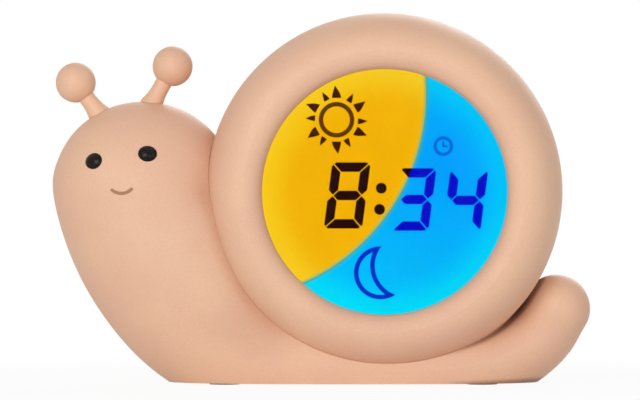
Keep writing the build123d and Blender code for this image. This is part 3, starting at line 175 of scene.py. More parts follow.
class Recipe:
    """The node tree of a material or of the world."""

    def __init__(self, owner: bpy.types.Material | bpy.types.World) -> None:
        """Start with a new output alone.

        Args:
            owner: The material or the world.
        """
        owner.use_nodes = True
        self.tree = owner.node_tree
        self.tree.nodes.clear()
        kind = "World" if isinstance(owner, bpy.types.World) else "Material"
        self.output = self.node(f"ShaderNodeOutput{kind}")
        self.places: dict[str, Value] = {}

    def node(self, kind: str, settings: Mapping[str, Any] | None = None,
             sockets: Mapping[str | int, Any] | None = None) -> bpy.types.Node:
        """Add a node of any kind.

        Args:
            kind: Blender's type name.
            settings: Properties, and "stops" for a colour ramp, set before the sockets.
            sockets: A value, a Value or an output socket for each input.

        Returns:
            The new node.
        """
        made = self.tree.nodes.new(kind)
        for key, setting in (settings or {}).items():
            if key == "stops":
                ramp = made.color_ramp.elements
                ramp[0].position, ramp[0].color = setting[0]
                ramp[1].position, ramp[1].color = setting[-1]
                for place, colour in setting[1:-1]:
                    ramp.new(place).color = colour
            else:
                setattr(made, key, setting)
        for key, given in (sockets or {}).items():
            source = given.socket if isinstance(given, Value) else given
            if isinstance(source, bpy.types.NodeSocket):
                self.tree.links.new(source, made.inputs[key])
            else:
                made.inputs[key].default_value = source
        return made

    def place(self) -> bpy.types.NodeSocket:
        """Position on the object, in metres."""
        return self.node("ShaderNodeTexCoord").outputs["Object"]

    def axis(self, name: str, middle: float = 0.0) -> Value:
        """Distance along one axis.

        Args:
            name: X, Y or Z.
            middle: Where the distance is 0, in millimetres.

        Returns:
            Millimetres.
        """
        if not self.places:
            split = self.node("ShaderNodeSeparateXYZ", sockets={0: self.place()})
            self.places = {out.name: Value(self, out) for out in split.outputs}
        return self.places[name] * (1 / MM) - middle

    def away(self, x: float, z: float) -> Value:
        """Distance in millimetres from a line along Y."""
        return self.axis("X", x).hypot(self.axis("Z", z))

    def noise(self, pitch: float, detail: float = 2.0,
              stretch: tuple[float, float, float] = (1.0, 1.0, 1.0)) -> Value:
        """Soft random pattern.

        Args:
            pitch: Size of its features, in millimetres.
            detail: How many finer layers it has.
            stretch: How much finer it is along each axis.

        Returns:
            A value about 0.5.
        """
        spread = self.node("ShaderNodeVectorMath", {"operation": "MULTIPLY"}, {0: self.place(), 1: stretch})
        node = self.node("ShaderNodeTexNoise", sockets={
            "Vector": spread.outputs[0], "Scale": 1 / (pitch * MM), "Detail": detail})
        return Value(self, node.outputs[0])

    def cells(self, pitch: float) -> Value:
        """Distance to the nearest point of a random cell pattern, 0 to about 1."""
        node = self.node("ShaderNodeTexVoronoi", sockets={"Vector": self.place(), "Scale": 1 / (pitch * MM)})
        return Value(self, node.outputs["Distance"])

    def blend(self, share: "Value | float", first: Any, second: Any,
              way: str = "MIX") -> bpy.types.NodeSocket:
        """Mix two colours.

        Args:
            share: How much of the second, 0 to 1.
            first: A colour or a colour output.
            second: A colour or a colour output.
            way: Blender's name of the mix.

        Returns:
            The mixed colour.
        """
        settings = {"data_type": "RGBA", "blend_type": way}
        return self.node("ShaderNodeMix", settings, {0: share, 6: first, 7: second}).outputs[2]

    def ramp(self, along: Value, stops: Iterable[tuple[float, Colour]]) -> bpy.types.NodeSocket:
        """Colour that changes along a value."""
        return self.node("ShaderNodeValToRGB", {"stops": list(stops)}, {0: along}).outputs["Color"]

    def crease(self, reach: float) -> Value:
        """How open the surface is: 1 in the open and less in a corner, within a reach in millimetres."""
        node = self.node("ShaderNodeAmbientOcclusion", {"samples": 8}, {"Distance": reach * MM})
        return Value(self, node.outputs["AO"])

    def bump(self, height: Value, depth: float) -> bpy.types.NodeSocket:
        """Relief of a depth in millimetres, from a pattern of 0 to 1."""
        sockets = {"Height": height, "Distance": depth * MM, "Strength": 1.0}
        return self.node("ShaderNodeBump", sockets=sockets).outputs[0]

    def end(self, shader: bpy.types.Node) -> None:
        """Link a shader to the output."""
        self.tree.links.new(shader.outputs[0], self.output.inputs["Surface"])

    def surface(self, sockets: Mapping[str, Any]) -> None:
        """End the tree in one Principled shader."""
        self.end(self.node("ShaderNodeBsdfPrincipled", sockets=sockets))

    def glow(self, light: bpy.types.NodeSocket, base: float, roughness: float) -> None:
        """End the tree in light of a colour, over a dark base without gloss."""
        self.surface({"Base Color": grey(base), "Roughness": roughness, "Emission Color": light,
                      "Emission Strength": 1.0, "Specular IOR Level": 0.0})


@dataclass(frozen=True)
class Finish:
    """A finish, with the name of the slot that it belongs to."""

    name: str
    slot: str

    def material(self) -> bpy.types.Material:
        """Give the material, made at its first use.

        Returns:
            The material.
        """
        name = f"finish_{self.name}"
        known = bpy.data.materials.get(name)
        if known:
            return known
        made = bpy.data.materials.new(name)
        self.mix(Recipe(made))
        return made

    def mix(self, recipe: Recipe) -> None:
        """Fill the node tree; each kind of finish has its own way."""
        raise NotImplementedError


@dataclass(frozen=True)
class PaintedShade:
    """Painted shade in a corner: the colour darkens where the surface is shut in.

    Each fade is an axis, or R for the distance from the shell's axis, with the levels where it starts
    and where it is full.
    """

    reach: float
    strength: float
    colour: Colour
    open_at: float
    shut_at: float
    fades: tuple[tuple[str, float, float], ...] = ()

    def over(self, recipe: Recipe, tone: bpy.types.NodeSocket) -> bpy.types.NodeSocket:
        """Paint shade into a tone in the corners.

        Args:
            recipe: The material's tree.
            tone: The colour to darken.

        Returns:
            The darkened colour.
        """
        shut = recipe.crease(self.reach).rise(self.open_at, self.shut_at) * self.strength
        for axis, start, full in self.fades:
            level = recipe.away(SHELL_X, SHELL_Z) if axis == "R" else recipe.axis(axis)
            shut = shut * level.rise(start, full)
        return recipe.blend(shut, tone, self.colour, "MULTIPLY")


@dataclass(frozen=True)
class Moulded(Finish):
    """Moulded plastic with an eroded, matt or satin skin."""

    colour: Colour
    tint: Colour
    roughness: float
    grain: float
    grain_depth: float
    parting: bool = False
    creases: tuple[PaintedShade, ...] = ()

    def mix(self, recipe: Recipe) -> None:
        """Cloudy tone, fine grain, handled patches, painted shade in the creases and the parting line.

        Args:
            recipe: The material's tree.
        """
        cloud = recipe.noise(26.0, 3.0)
        relief = recipe.noise(self.grain, 2.0)
        handled = recipe.noise(14.0, 4.0).rise(0.42, 0.68)
        tone = recipe.blend(cloud.rise(0.35, 0.65), self.colour, self.tint)
        speck = recipe.noise(self.grain * 2.2, 1.0).rise(0.3, 0.75)
        tone = recipe.blend(speck * 0.05, tone, (0.25, 0.2, 0.16, 1.0), "MULTIPLY")
        # painted shade: the tone darkens in corners and creases
        for crease in self.creases:
            tone = crease.over(recipe, tone)
        if self.parting:
            line = abs(recipe.axis("Y")).rise(0.16, 0.03)
            tone = recipe.blend(line * 0.45, tone, srgb(110, 76, 52), "MULTIPLY")
            relief = relief - line * 6.0
        rough = self.roughness + (cloud - 0.5) * 0.1 - handled * 0.05
        recipe.surface({"Base Color": tone, "Roughness": rough, "Specular IOR Level": 0.4,
                        "Normal": recipe.bump(relief, self.grain_depth)})


@dataclass(frozen=True)
class Gloss(Finish):
    """Polished plastic with a clear skin."""

    colour: Colour
    roughness: float
    shine: float = 0.5
    coat: float = 0.6

    def mix(self, recipe: Recipe) -> None:
        """Deep colour, faint orange peel and fine wiping marks.

        Args:
            recipe: The material's tree.
        """
        peel = recipe.noise(0.7, 1.0)
        wiped = recipe.noise(0.4, 3.0, (1.0, 1.0, 6.0)).rise(0.45, 0.8)
        tone = recipe.blend(recipe.noise(3.0).rise(0.3, 0.7) * 0.25, self.colour, srgb(58, 40, 32))
        recipe.surface({"Base Color": tone, "Roughness": self.roughness + wiped * 0.12,
                        "Specular IOR Level": self.shine, "Coat Weight": self.coat, "Coat Roughness": 0.05,
                        "Normal": recipe.bump(peel, 0.004)})


@dataclass(frozen=True)
class Clear(Finish):
    """Clear sheet with hairline scratches."""

    tint: Colour
    index: float

    def mix(self, recipe: Recipe) -> None:
        """See-through body with very fine lines in its gloss.

        Args:
            recipe: The material's tree.
        """
        lines = recipe.noise(0.5, 4.0, (9.0, 9.0, 0.6)).rise(0.62, 0.8)
        tone = recipe.blend(recipe.noise(9.0).rise(0.3, 0.7) * 0.02, self.tint, (0.93, 0.96, 0.97, 1.0))
        recipe.surface({"Base Color": tone, "Roughness": lines * 0.03, "IOR": self.index,
                        "Transmission Weight": 1.0})


@dataclass(frozen=True)
class Veil(Finish):
    """Thin glass of the liquid crystal: nearly unseen, with a faint grain of dots."""

    tint: Colour
    dense: float
    roughness: float

    def mix(self, recipe: Recipe) -> None:
        """See-through sheet whose density hardly varies.

        Args:
            recipe: The material's tree.
        """
        dots = recipe.cells(0.6).rise(0.2, 0.6)
        edge = recipe.noise(8.0, 2.0).rise(0.3, 0.7)
        tone = recipe.blend(edge, self.tint, srgb(20, 26, 20))
        recipe.surface({"Base Color": tone, "Roughness": self.roughness + dots * 0.1,
                        "Specular IOR Level": 0.0, "Alpha": dots * 0.01 + self.dense})


@dataclass(frozen=True)
class Lit(Finish):
    """Lit film or lamp; a film's glow is painted backlight that stands in for the lamps behind it.

    Its tone changes from near to far over the reach from one point, the rim multiplies it, and both
    lights mix within the seep from the arc.
    """

    near: Colour
    middle: Colour
    far: Colour
    rim: Colour = grey(1.0)
    from_x: float = 0.0
    from_z: float = 0.0
    reach: float = 50.0
    rim_from: float = 26.0
    rim_to: float = 37.0
    seep: float = 0.0
    seep_tone: Colour = grey(0.5)

    def mix(self, recipe: Recipe) -> None:
        """Painted glow that spreads from one point, brighter at the rim, with both lights mixed at the arc.

        Args:
            recipe: The material's tree.
        """
        spread = recipe.away(self.from_x, self.from_z) / self.reach
        light = recipe.ramp(spread, [(0.0, self.near), (0.5, self.middle), (1.0, self.far)])
        edge = recipe.away(SHELL_X, SHELL_Z).rise(self.rim_from, self.rim_to)
        light = recipe.blend(edge, light, self.rim, "MULTIPLY")
        if self.seep:
            arc = abs(recipe.away(ARC_X, ARC_Z) - ARC_R)
            light = recipe.blend(arc.rise(self.seep, -0.1), light, self.seep_tone)
        patch = recipe.noise(11.0, 1.0).rise(0.3, 0.7)
        recipe.glow(recipe.blend(patch * 0.5, light, grey(0.95), "MULTIPLY"), 0.001, 0.7)


@dataclass(frozen=True)
class Ink(Finish):
    """Liquid-crystal sign, whose colour depends on the light behind it; that light is painted in as the
    sign's own glow.
    """

    day: Colour
    night: Colour
    blur: float = 0.4

    def mix(self, recipe: Recipe) -> None:
        """Dark brown over the day side and deep blue over the night side.

        Args:
            recipe: The material's tree.
        """
        side = recipe.away(ARC_X, ARC_Z).rise(ARC_R - self.blur, ARC_R + self.blur)
        dense = recipe.noise(1.2, 2.0).rise(0.3, 0.7)
        light = recipe.blend(side, self.day, self.night)
        recipe.glow(recipe.blend(dense * 0.12, light, grey(0.0)), 0.004, 0.5)


@dataclass(frozen=True)
class Metal(Finish):
    """Plated or drawn metal."""

    colour: Colour
    roughness: float
    drawn: tuple[float, float, float] = (1.0, 1.0, 1.0)

    def mix(self, recipe: Recipe) -> None:
        """Tool marks along one direction and dull spots.

        Args:
            recipe: The material's tree.
        """
        marks = recipe.noise(0.5, 3.0, self.drawn)
        dull = recipe.noise(1.6, 3.0).rise(0.5, 0.75)
        tone = recipe.blend(dull * 0.4, self.colour, srgb(120, 112, 100), "MULTIPLY")
        recipe.surface({"Base Color": tone, "Roughness": self.roughness + dull * 0.2, "Metallic": 1.0,
                        "Normal": recipe.bump(marks, 0.006)})


@dataclass(frozen=True)
class Board(Finish):
    """Circuit board with tracks under its solder mask."""

    colour: Colour
    track: Colour

    def mix(self, recipe: Recipe) -> None:
        """Tracks on a square net, broken up, over a woven core.

        Args:
            recipe: The material's tree.
        """
        net = {"Vector": recipe.place(), "Scale": 260.0, "Mortar Size": 0.022, "Brick Width": 0.9,
               "Row Height": 0.4}
        tracks = Value(recipe, recipe.node("ShaderNodeTexBrick", sockets=net).outputs["Fac"])
        tracks = tracks * recipe.noise(5.0, 0.0).rise(0.44, 0.5)
        weave = recipe.noise(0.35, 1.0, (1.0, 5.0, 1.0))
        tone = recipe.blend(tracks, self.colour, self.track)
        tone = recipe.blend(weave.rise(0.3, 0.7) * 0.15, tone, (0.5, 0.5, 0.4, 1.0), "MULTIPLY")
        recipe.surface({"Base Color": tone, "Roughness": 0.38 - tracks * 0.08,
                        "Normal": recipe.bump(tracks, 0.02)})


@dataclass(frozen=True)
class Rubber(Finish):
    """Rubber, foam or a lead's sleeve."""

    colour: Colour
    pitch: float
    depth: float
    roughness: float

    def mix(self, recipe: Recipe) -> None:
        """Fine pores and a bloom of dust.

        Args:
            recipe: The material's tree.
        """
        pores = recipe.cells(self.pitch)
        bloom = recipe.noise(2.5, 3.0).rise(0.4, 0.7)
        tone = recipe.blend(bloom * 0.18, self.colour, srgb(176, 170, 160))
        recipe.surface({"Base Color": tone, "Roughness": self.roughness - bloom * 0.06,
                        "Normal": recipe.bump(pores, self.depth)})


@dataclass(frozen=True)
class CellWrap(Finish):
    """Printed sleeve of a cell, with a band at its positive end and bare metal at both ends."""

    plus_side: int
    main: Colour = (0.02, 0.02, 0.02, 1.0)
    band: Colour = (0.6, 0.35, 0.08, 1.0)
    band_from: float = 9.0
    metal_from: float = 21.3

    def mix(self, recipe: Recipe) -> None:
        """Two-tone sleeve along X with steel beyond its edges.

        Args:
            recipe: The material's tree.
        """
        along = recipe.axis("X", SHELL_X) * float(self.plus_side)
        tone = recipe.blend(along.rise(self.band_from - 0.05, self.band_from + 0.05), self.main, self.band)
        stripe = abs(along - (self.band_from - 1.6)).rise(0.35, 0.3)
        tone = recipe.blend(stripe, tone, srgb(228, 224, 214))
        bare = abs(along).rise(self.metal_from - 0.02, self.metal_from + 0.02)
        tone = recipe.blend(bare, tone, srgb(196, 194, 190))
        creases = recipe.noise(1.5, 2.0, (0.3, 1.0, 1.0))
        recipe.surface({"Base Color": tone, "Metallic": bare, "Roughness": 0.24 + bare * 0.1 + creases * 0.08,
                        "Coat Weight": 0.3, "Normal": recipe.bump(creases, 0.015)})


@dataclass(frozen=True)
class PaperCone(Finish):
    """Pressed paper of a loudspeaker's cone."""

    colour: Colour

    def mix(self, recipe: Recipe) -> None:
        """Short fibres.

        Args:
            recipe: The material's tree.
        """
        fibres = recipe.noise(0.25, 4.0, (1.0, 1.0, 3.0))
        tone = recipe.blend(fibres.rise(0.35, 0.75) * 0.5, self.colour, srgb(92, 84, 74))
        recipe.surface({"Base Color": tone, "Roughness": 0.85, "Normal": recipe.bump(fibres, 0.05)})


# ---- Finishes of this clock ----
# Painted shade: the ring's soft shadow on the neck, the dark band where the tail meets the ring, and a little
# at the ring's edges.
NECK_SHADE = PaintedShade(30.0, 0.55, srgb(206, 176, 158), 0.97, 0.72,
                    (("R", 74.0, 56.0), ("X", 4.0, -16.0), ("Z", 68.0, 52.0), ("Z", 5.0, 20.0)))
TAIL_SHADE = PaintedShade(2.6, 0.62, srgb(112, 66, 40), 0.8, 0.35, (("X", 34.0, 46.0),))
EDGE_SHADE = PaintedShade(2.6, 0.18, srgb(150, 104, 72), 0.8, 0.2)
PEACH_SMALL = Moulded("peach_small", "peach_plastic", srgb(233, 189, 157), srgb(230, 183, 154),
                      0.56, 0.3, 0.005)
PEACH = replace(PEACH_SMALL, name="peach_shell", parting=True, creases=(EDGE_SHADE,))
PEACH_BODY = replace(PEACH, name="peach_body", creases=(NECK_SHADE, TAIL_SHADE))
CREAM = Moulded("cream_caps", "cream_plastic", srgb(246, 233, 214), srgb(243, 228, 208), 0.42, 0.4, 0.004)
SMILE_BROWN = Moulded("smile_brown", "brown_plastic", srgb(176, 128, 96), srgb(168, 121, 90),
                      0.6, 0.3, 0.005)
SIGN_BROWN = Moulded("sign_brown", "brown_plastic", srgb(128, 88, 64), srgb(118, 80, 58), 0.5, 0.3, 0.004)
EYE_BLACK = Gloss("eye_black", "black_gloss", srgb(18, 13, 10), 0.2, 0.13, 0.0)
SEAL_GREY = Rubber("seal_foam", "grey_foam", srgb(70, 70, 72), 0.4, 0.08, 0.9)
WINDOW = Clear("clear_window", "clear_window", srgb(254, 254, 254), 1.06)
LCD_GLASS = Veil("display_glass", "display_glass", (0.01, 0.012, 0.01, 1.0), 0.02, 0.25)
RIBBON = Gloss("ribbon_film", "ribbon_film", srgb(168, 96, 34), 0.3)
BOX_WHITE = Moulded("box_white", "white_plastic", srgb(240, 240, 236), srgb(232, 232, 228), 0.4, 0.5, 0.004)
LAMP_BOARD = Board("lamp_board", "white_board", srgb(236, 236, 230), srgb(205, 208, 200))
MAIN_BOARD = Board("main_board", "green_board", srgb(18, 92, 52), srgb(34, 128, 74))
CHIP_BLACK = Moulded("chip_black", "black_plastic", srgb(34, 34, 36), srgb(44, 44, 46), 0.5, 0.2, 0.006)
ZINC = Metal("zinc_screws", "zinc_steel", srgb(198, 200, 204), 0.3)
NICKEL = Metal("nickel_springs", "nickel_steel", srgb(214, 210, 202), 0.22, (1.0, 6.0, 1.0))
GOLD = Metal("gold_pads", "nickel_steel", srgb(214, 176, 96), 0.28, (6.0, 1.0, 1.0))
CELL_PRINT = Moulded("cell_print", "cell_wrap", srgb(238, 234, 224), srgb(228, 224, 214), 0.4, 0.3, 0.003)
CONE = PaperCone("speaker_cone", "cone_paper", (0.03, 0.03, 0.03, 1.0))
FERRITE = Moulded("ferrite", "magnet_ferrite", srgb(52, 52, 56), srgb(70, 70, 74), 0.55, 0.5, 0.03)
FOOT = Rubber("foot_rubber", "foot_rubber", srgb(196, 158, 134), 0.5, 0.02, 0.75)
SLEEVE = Rubber("lead_sleeve", "lead_sleeve", srgb(150, 30, 26), 0.9, 0.01, 0.45)
AMBER_MILK = Moulded("amber_milk", "amber_diffuser", srgb(250, 214, 120), srgb(248, 206, 104),
                     0.35, 0.4, 0.003)
BLUE_MILK = Moulded("blue_milk", "blue_diffuser", srgb(150, 205, 245), srgb(140, 196, 242),
                    0.35, 0.4, 0.003)
AMBER_LAMP = Lit("amber_lamp", "amber_lamp", *[srgb(255, 190, 40)] * 3)
BLUE_LAMP = Lit("blue_lamp", "blue_lamp", *[srgb(40, 150, 255)] * 3)
# Painted backlight: the films glow in the colours of the lamps behind them.
DAY_GLOW = Lit("day_glow", "amber_diffuser", srgb(250, 182, 0), srgb(250, 184, 3), srgb(251, 190, 12),
               (1.03, 1.26, 6.0, 1.0), 12.0, 58.0, 44.0, rim_to=36.5,
               seep=1.3, seep_tone=srgb(168, 190, 100))
NIGHT_GLOW = Lit("night_glow", "blue_diffuser", srgb(0, 160, 255), srgb(0, 179, 255), srgb(0, 196, 255),
                 (1.0, 1.36, 0.99, 1.0), 36.0, 66.0, 46.0, seep=1.3, seep_tone=srgb(64, 174, 170))
SIGN_INK = Ink("sign_ink", "display_glass", srgb(30, 0, 0), srgb(0, 0, 210))
SUN_INK = Ink("sun_ink", "display_glass", srgb(66, 18, 0), srgb(0, 40, 212))
PALE_INK = Ink("pale_ink", "display_glass", srgb(98, 52, 0), srgb(0, 40, 208))
FAINT_INK = Ink("faint_ink", "display_glass", srgb(98, 52, 0), srgb(0, 104, 226))


# ---- Modelling by hand ----
class Bench:
    """Primitives, edit-mode operators and modifiers, each used on one piece at a time."""

    @staticmethod
    def hold(piece: Piece) -> None:
        """Select one piece alone and make it active.

        Args:
            piece: The piece.
        """
        bpy.ops.object.select_all(action="DESELECT")
        piece.select_set(True)
        bpy.context.view_layer.objects.active = piece

    @staticmethod
    @contextmanager
    def edit(piece: Piece, test: Callable[[Vector], bool] | None = None,
             faces: bool = False) -> Iterator[None]:
        """Hold a piece in edit mode, with some of it selected at the start.

        Args:
            piece: The piece.
            test: Says of a place in millimetres whether it is wanted. Without it, everything is.
            faces: Whether faces are picked, by all of their corners, and not vertices.

        Yields:
            Nothing; the piece is in object mode again afterwards.
        """
        Bench.hold(piece)
        bpy.ops.object.mode_set(mode="EDIT")
        bpy.ops.mesh.select_mode(type="FACE" if faces else "VERT")
        bpy.ops.mesh.select_all(action="DESELECT")
        net = bmesh.from_edit_mesh(piece.data)
        turn = piece.matrix_world
        for part in net.faces if faces else net.verts:
            points = part.verts if faces else (part,)
            part.select_set(test is None or all(test((turn @ point.co) / MM) for point in points))
        net.select_flush_mode()
        bmesh.update_edit_mesh(piece.data)
        yield
        bpy.ops.object.mode_set(mode="OBJECT")

    @staticmethod
    def settle(piece: Piece) -> Piece:
        """Put the piece's place, turn and size into its mesh.

        Args:
            piece: The piece.

        Returns:
            The same piece.
        """
        Bench.hold(piece)
        bpy.ops.object.transform_apply(location=True, rotation=True, scale=True)
        return piece

    @staticmethod
    def disc(at: Place, radius: float, sides: int = ROUNDER) -> Piece:
        """Flat face of a number of sides that looks to the front, by its middle and radius."""
        bpy.ops.mesh.primitive_circle_add(vertices=sides, radius=radius * MM, fill_type="NGON",
                                          location=metres(at), rotation=TO_FRONT)
        return Bench.settle(bpy.context.object)

    @staticmethod
    def sheet(at: Place, wide: float, high: float) -> Piece:
        """Flat rectangle that looks to the front.

        Args:
            at: Its middle, in millimetres.
            wide: Size along X.
            high: Size along Z.

        Returns:
            The face.
        """
        bpy.ops.mesh.primitive_plane_add(size=MM, location=metres(at), rotation=TO_FRONT)
        bpy.context.object.scale = (wide, high, 1.0)
        return Bench.settle(bpy.context.object)

    @staticmethod
    def trim(piece: Piece, x: float, z: float, way_x: float, way_z: float) -> None:
        """Cut a piece by a plane along Y and drop what lies on the plane's outer side.

        Args:
            piece: The piece.
            x: A place of the plane in millimetres.
            z: A place of the plane in millimetres.
            way_x: Outer direction along X.
            way_z: Outer direction along Z.
        """
        solid = any(abs(face.normal.y) < ALONG_Y for face in piece.data.polygons)
        with Bench.edit(piece, faces=True):
            bpy.ops.mesh.bisect(plane_co=(x * MM, 0.0, z * MM), plane_no=(way_x, 0.0, way_z),
                                clear_outer=True, use_fill=solid)

    @staticmethod
    def thicken(piece: Piece, depth: float) -> Piece:
        """Extrude a flat face to the rear.

        Args:
            piece: The face.
            depth: How far, in millimetres.

        Returns:
            A solid piece.
        """
        with Bench.edit(piece, faces=True):
            bpy.ops.mesh.extrude_region_move(TRANSFORM_OT_translate={"value": (0.0, depth * MM, 0.0)})
            bpy.ops.mesh.select_all(action="SELECT")
            bpy.ops.mesh.normals_make_consistent(inside=False)
        return piece

    @staticmethod
    def ring(piece: Piece, stroke: float) -> Piece:
        """Turn a flat face into its outline.

        Args:
            piece: The face.
            stroke: Width of the outline, in millimetres.

        Returns:
            The outline.
        """
        with Bench.edit(piece, faces=True):
            bpy.ops.mesh.inset(thickness=stroke * MM)
            bpy.ops.mesh.delete(type="FACE")
        return piece

    @staticmethod
    def pad(at: Place, wide: float, high: float, thick: float, corner: float) -> Piece:
        """Thin plate with round corners, from a level to the rear of it.

        Args:
            at: Middle of its front face, in millimetres.
            wide: Size along X.
            high: Size along Z.
            thick: Size along Y.
            corner: Radius of the corners.

        Returns:
            The plate.
        """
        plate = Bench.sheet(at, wide, high)
        with Bench.edit(plate):
            bpy.ops.mesh.bevel(offset=corner * MM, affect="VERTICES", segments=CORNER_STEPS)
        return Bench.thicken(plate, thick)

    @staticmethod
    def coin(at: Place, radius: float, thick: float, sides: int = ROUND) -> Piece:
        """Thin round plate, from a level to the rear of it."""
        return Bench.thicken(Bench.disc(at, radius, sides), thick)

    @staticmethod
    def hoop(at: Place, radius: float, stroke: float, thick: float) -> Piece:
        """Thin ring, from a level to the rear of it."""
        return Bench.thicken(Bench.ring(Bench.disc(at, radius, ROUND), stroke), thick)

    @staticmethod
    def join(pieces: list[Piece]) -> Piece:
        """Join pieces into the first, each as it is.

        Args:
            pieces: The pieces.

        Returns:
            The first.
        """
        Bench.hold(pieces[0])
        for piece in pieces[1:]:
            piece.select_set(True)
        bpy.ops.object.join()
        return pieces[0]

    @staticmethod
    def shape(piece: Piece, cutter: Piece, way: str) -> Piece:
        """Cut one piece by another and remove the cutter.

        Args:
            piece: The piece that stays.
            cutter: The piece that shapes it.
            way: DIFFERENCE, INTERSECT or UNION.

        Returns:
            The shaped piece.
        """
        Bench.hold(piece)
        cut = piece.modifiers.new("cut", "BOOLEAN")
        cut.object, cut.operation, cut.solver = cutter, way, "EXACT"
        bpy.ops.object.modifier_apply(modifier=cut.name)
        Bench.hold(cutter)
        bpy.ops.object.delete()
        return piece

    @staticmethod
    def plain(piece: Piece) -> None:
        """Make one face of flat faces that meet, and one edge of edges in a line."""
        with Bench.edit(piece):
            bpy.ops.mesh.dissolve_limited(angle_limit=radians(FLAT_ANGLE))

    @staticmethod
    def weld(pieces: list[Piece]) -> Piece:
        """Unite solid pieces into the first.

        Args:
            pieces: The pieces.

        Returns:
            One solid.
        """
        for piece in pieces[1:]:
            Bench.shape(pieces[0], piece, "UNION")
        Bench.plain(pieces[0])
        return pieces[0]

    @staticmethod
    def lean(piece: Piece, slope: float) -> Piece:
        """Slant a flat sign: each level of its vertices moves sideways.

        Args:
            piece: A sign that looks to the front.
            slope: Sideways move for each unit of height.

        Returns:
            The slanted sign.
        """
        levels = sorted({round(vertex.co.z / MM, 3) for vertex in piece.data.vertices})
        for level in levels[1:]:
            with Bench.edit(piece, lambda spot: abs(spot.z - level) < SAME_LEVEL):
                bpy.ops.transform.translate(value=((level - levels[0]) * slope * MM, 0.0, 0.0))
        return piece

    @staticmethod
    def done(piece: Piece, name: str, body: str, finish: Finish, smooth: float = 0.0) -> None:
        """Close a piece's mesh, name it, dress it and let it ride on its body.

        Args:
            piece: The finished shape.
            name: Its name.
            body: The body that it moves with.
            finish: Its finish.
            smooth: Angle in degrees below which edges are shaded smooth, or 0.
        """
        Bench.settle(piece)
        with Bench.edit(piece):
            bpy.ops.mesh.remove_doubles(threshold=SAME_POINT)
            bpy.ops.mesh.normals_make_consistent(inside=False)
        if smooth:
            bpy.ops.object.shade_smooth_by_angle(angle=radians(smooth))
        piece.name = piece.data.name = name
        piece.data.materials.clear()
        piece.data.materials.append(finish.material())
        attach(piece, body)
        log.info("%s on %s, %d faces", name, body, len(piece.data.polygons))


# ---- Sub-assemblies ----
class SubAssembly:
    """Solids of the frame with their finishes, and the pieces that the scene adds to them."""

    finishes: ClassVar[Mapping[str, Finish]] = {}

    def build(self) -> None:
        """Add pieces; a sub-assembly that is whole in its solids adds none."""

    def dress(self) -> None:
        """Give the solids their finishes."""
        for node, finish in self.finishes.items():
            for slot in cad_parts[node].material_slots:
                slot.material = finish.material()
            log.info("%s dressed as %s", node, finish.name)


@dataclass
class SnailBody(SubAssembly):
    """Head, neck, foot and tail, with the antennae, eyes and mouth."""

    finishes = {"body_front_shell": PEACH_BODY, "body_rear_shell": PEACH_BODY,
                "antenna_left": PEACH_SMALL, "antenna_right": PEACH_SMALL, "eye_left": EYE_BLACK,
                "eye_right": EYE_BLACK, "smile_inlay": SMILE_BROWN, "body_screws": ZINC,
                "rubber_feet": FOOT}

    side_r: float = 53.2
    edge_w: float = 11.2
    edge_y: float = 10.0
    edge_h: float = 18.0
    seam: float = 0.3
    lip_rise: float = 0.2
    lip_t: float = 0.17
    lip_slack: float = 0.05
    lip_smooth: float = 40.0

    def on_cradle(self, spot: Vector) -> bool:
        """Tell whether a place lies on the surface that cradles the shell.

        Args:
            spot: The place, in millimetres.

        Returns:
            Whether it does.
        """
        out = hypot(spot.x - SHELL_X, spot.z - SHELL_Z) - (self.side_r - self.edge_w)
        up = max(abs(spot.y) - self.edge_y, 0.0)
        level = hypot(out / (self.edge_w + self.seam), up / (self.edge_h + self.seam))
        return abs(level - 1.0) * self.edge_w < self.lip_slack

    def draw_in(self, depth: float) -> None:
        """Move what is selected towards the shell's axis and middle plane by a depth in millimetres."""
        share = 1.0 - depth / self.side_r
        bpy.ops.transform.resize(value=(share, 2 * share - 1.0, share),
                                 center_override=(SHELL_X * MM, 0.0, SHELL_Z * MM))

    def seam_lip(self, half: str) -> None:
        """Soft lip on the cradle of one half, which closes the seam round the shell.

        Args:
            half: front or rear.
        """
        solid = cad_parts[f"body_{half}_shell"]
        lip = bpy.data.objects.new("lip", solid.data.copy())
        bpy.context.scene.collection.objects.link(lip)
        lip.matrix_world = solid.matrix_world.copy()
        Bench.settle(lip)
        bpy.ops.mesh.customdata_custom_splitnormals_clear()
        bpy.ops.object.shade_flat()
        with Bench.edit(lip):
            bpy.ops.mesh.remove_doubles(threshold=SAME_POINT)
        with Bench.edit(lip, self.on_cradle, faces=True):
            bpy.ops.mesh.select_all(action="INVERT")
            bpy.ops.mesh.delete(type="FACE")
            bpy.ops.mesh.select_all(action="SELECT")
            self.draw_in(self.lip_rise - self.lip_t)
            bpy.ops.mesh.extrude_region_move(TRANSFORM_OT_translate={"value": (0.0, 0.0, 0.0)})
            self.draw_in(self.lip_t)
        Bench.done(lip, f"seam_lip_{half}", SHELL_BODY, PEACH_SMALL, self.lip_smooth)

    def build(self) -> None:
        """Close the seam between the body and the shell."""
        for half in ("front", "rear"):
            self.seam_lip(half)


@dataclass
class RoundShell(SubAssembly):
    """The drum that holds the display and the works."""

    finishes = {"shell_front_ring": PEACH, "shell_rear_cover": PEACH, "shell_screws": ZINC}


class Bar(Enum):
    """The seven bars of a digit."""

    TOP = "top"
    HIGH_LEFT = "high_left"
    HIGH_RIGHT = "high_right"
    MIDDLE = "middle"
    LOW_LEFT = "low_left"
    LOW_RIGHT = "low_right"
    BOTTOM = "bottom"


EIGHT = tuple(Bar)
THREE = tuple(bar for bar in Bar if bar not in (Bar.HIGH_LEFT, Bar.LOW_LEFT))
FOUR = (Bar.HIGH_LEFT, Bar.MIDDLE, Bar.HIGH_RIGHT, Bar.LOW_RIGHT)


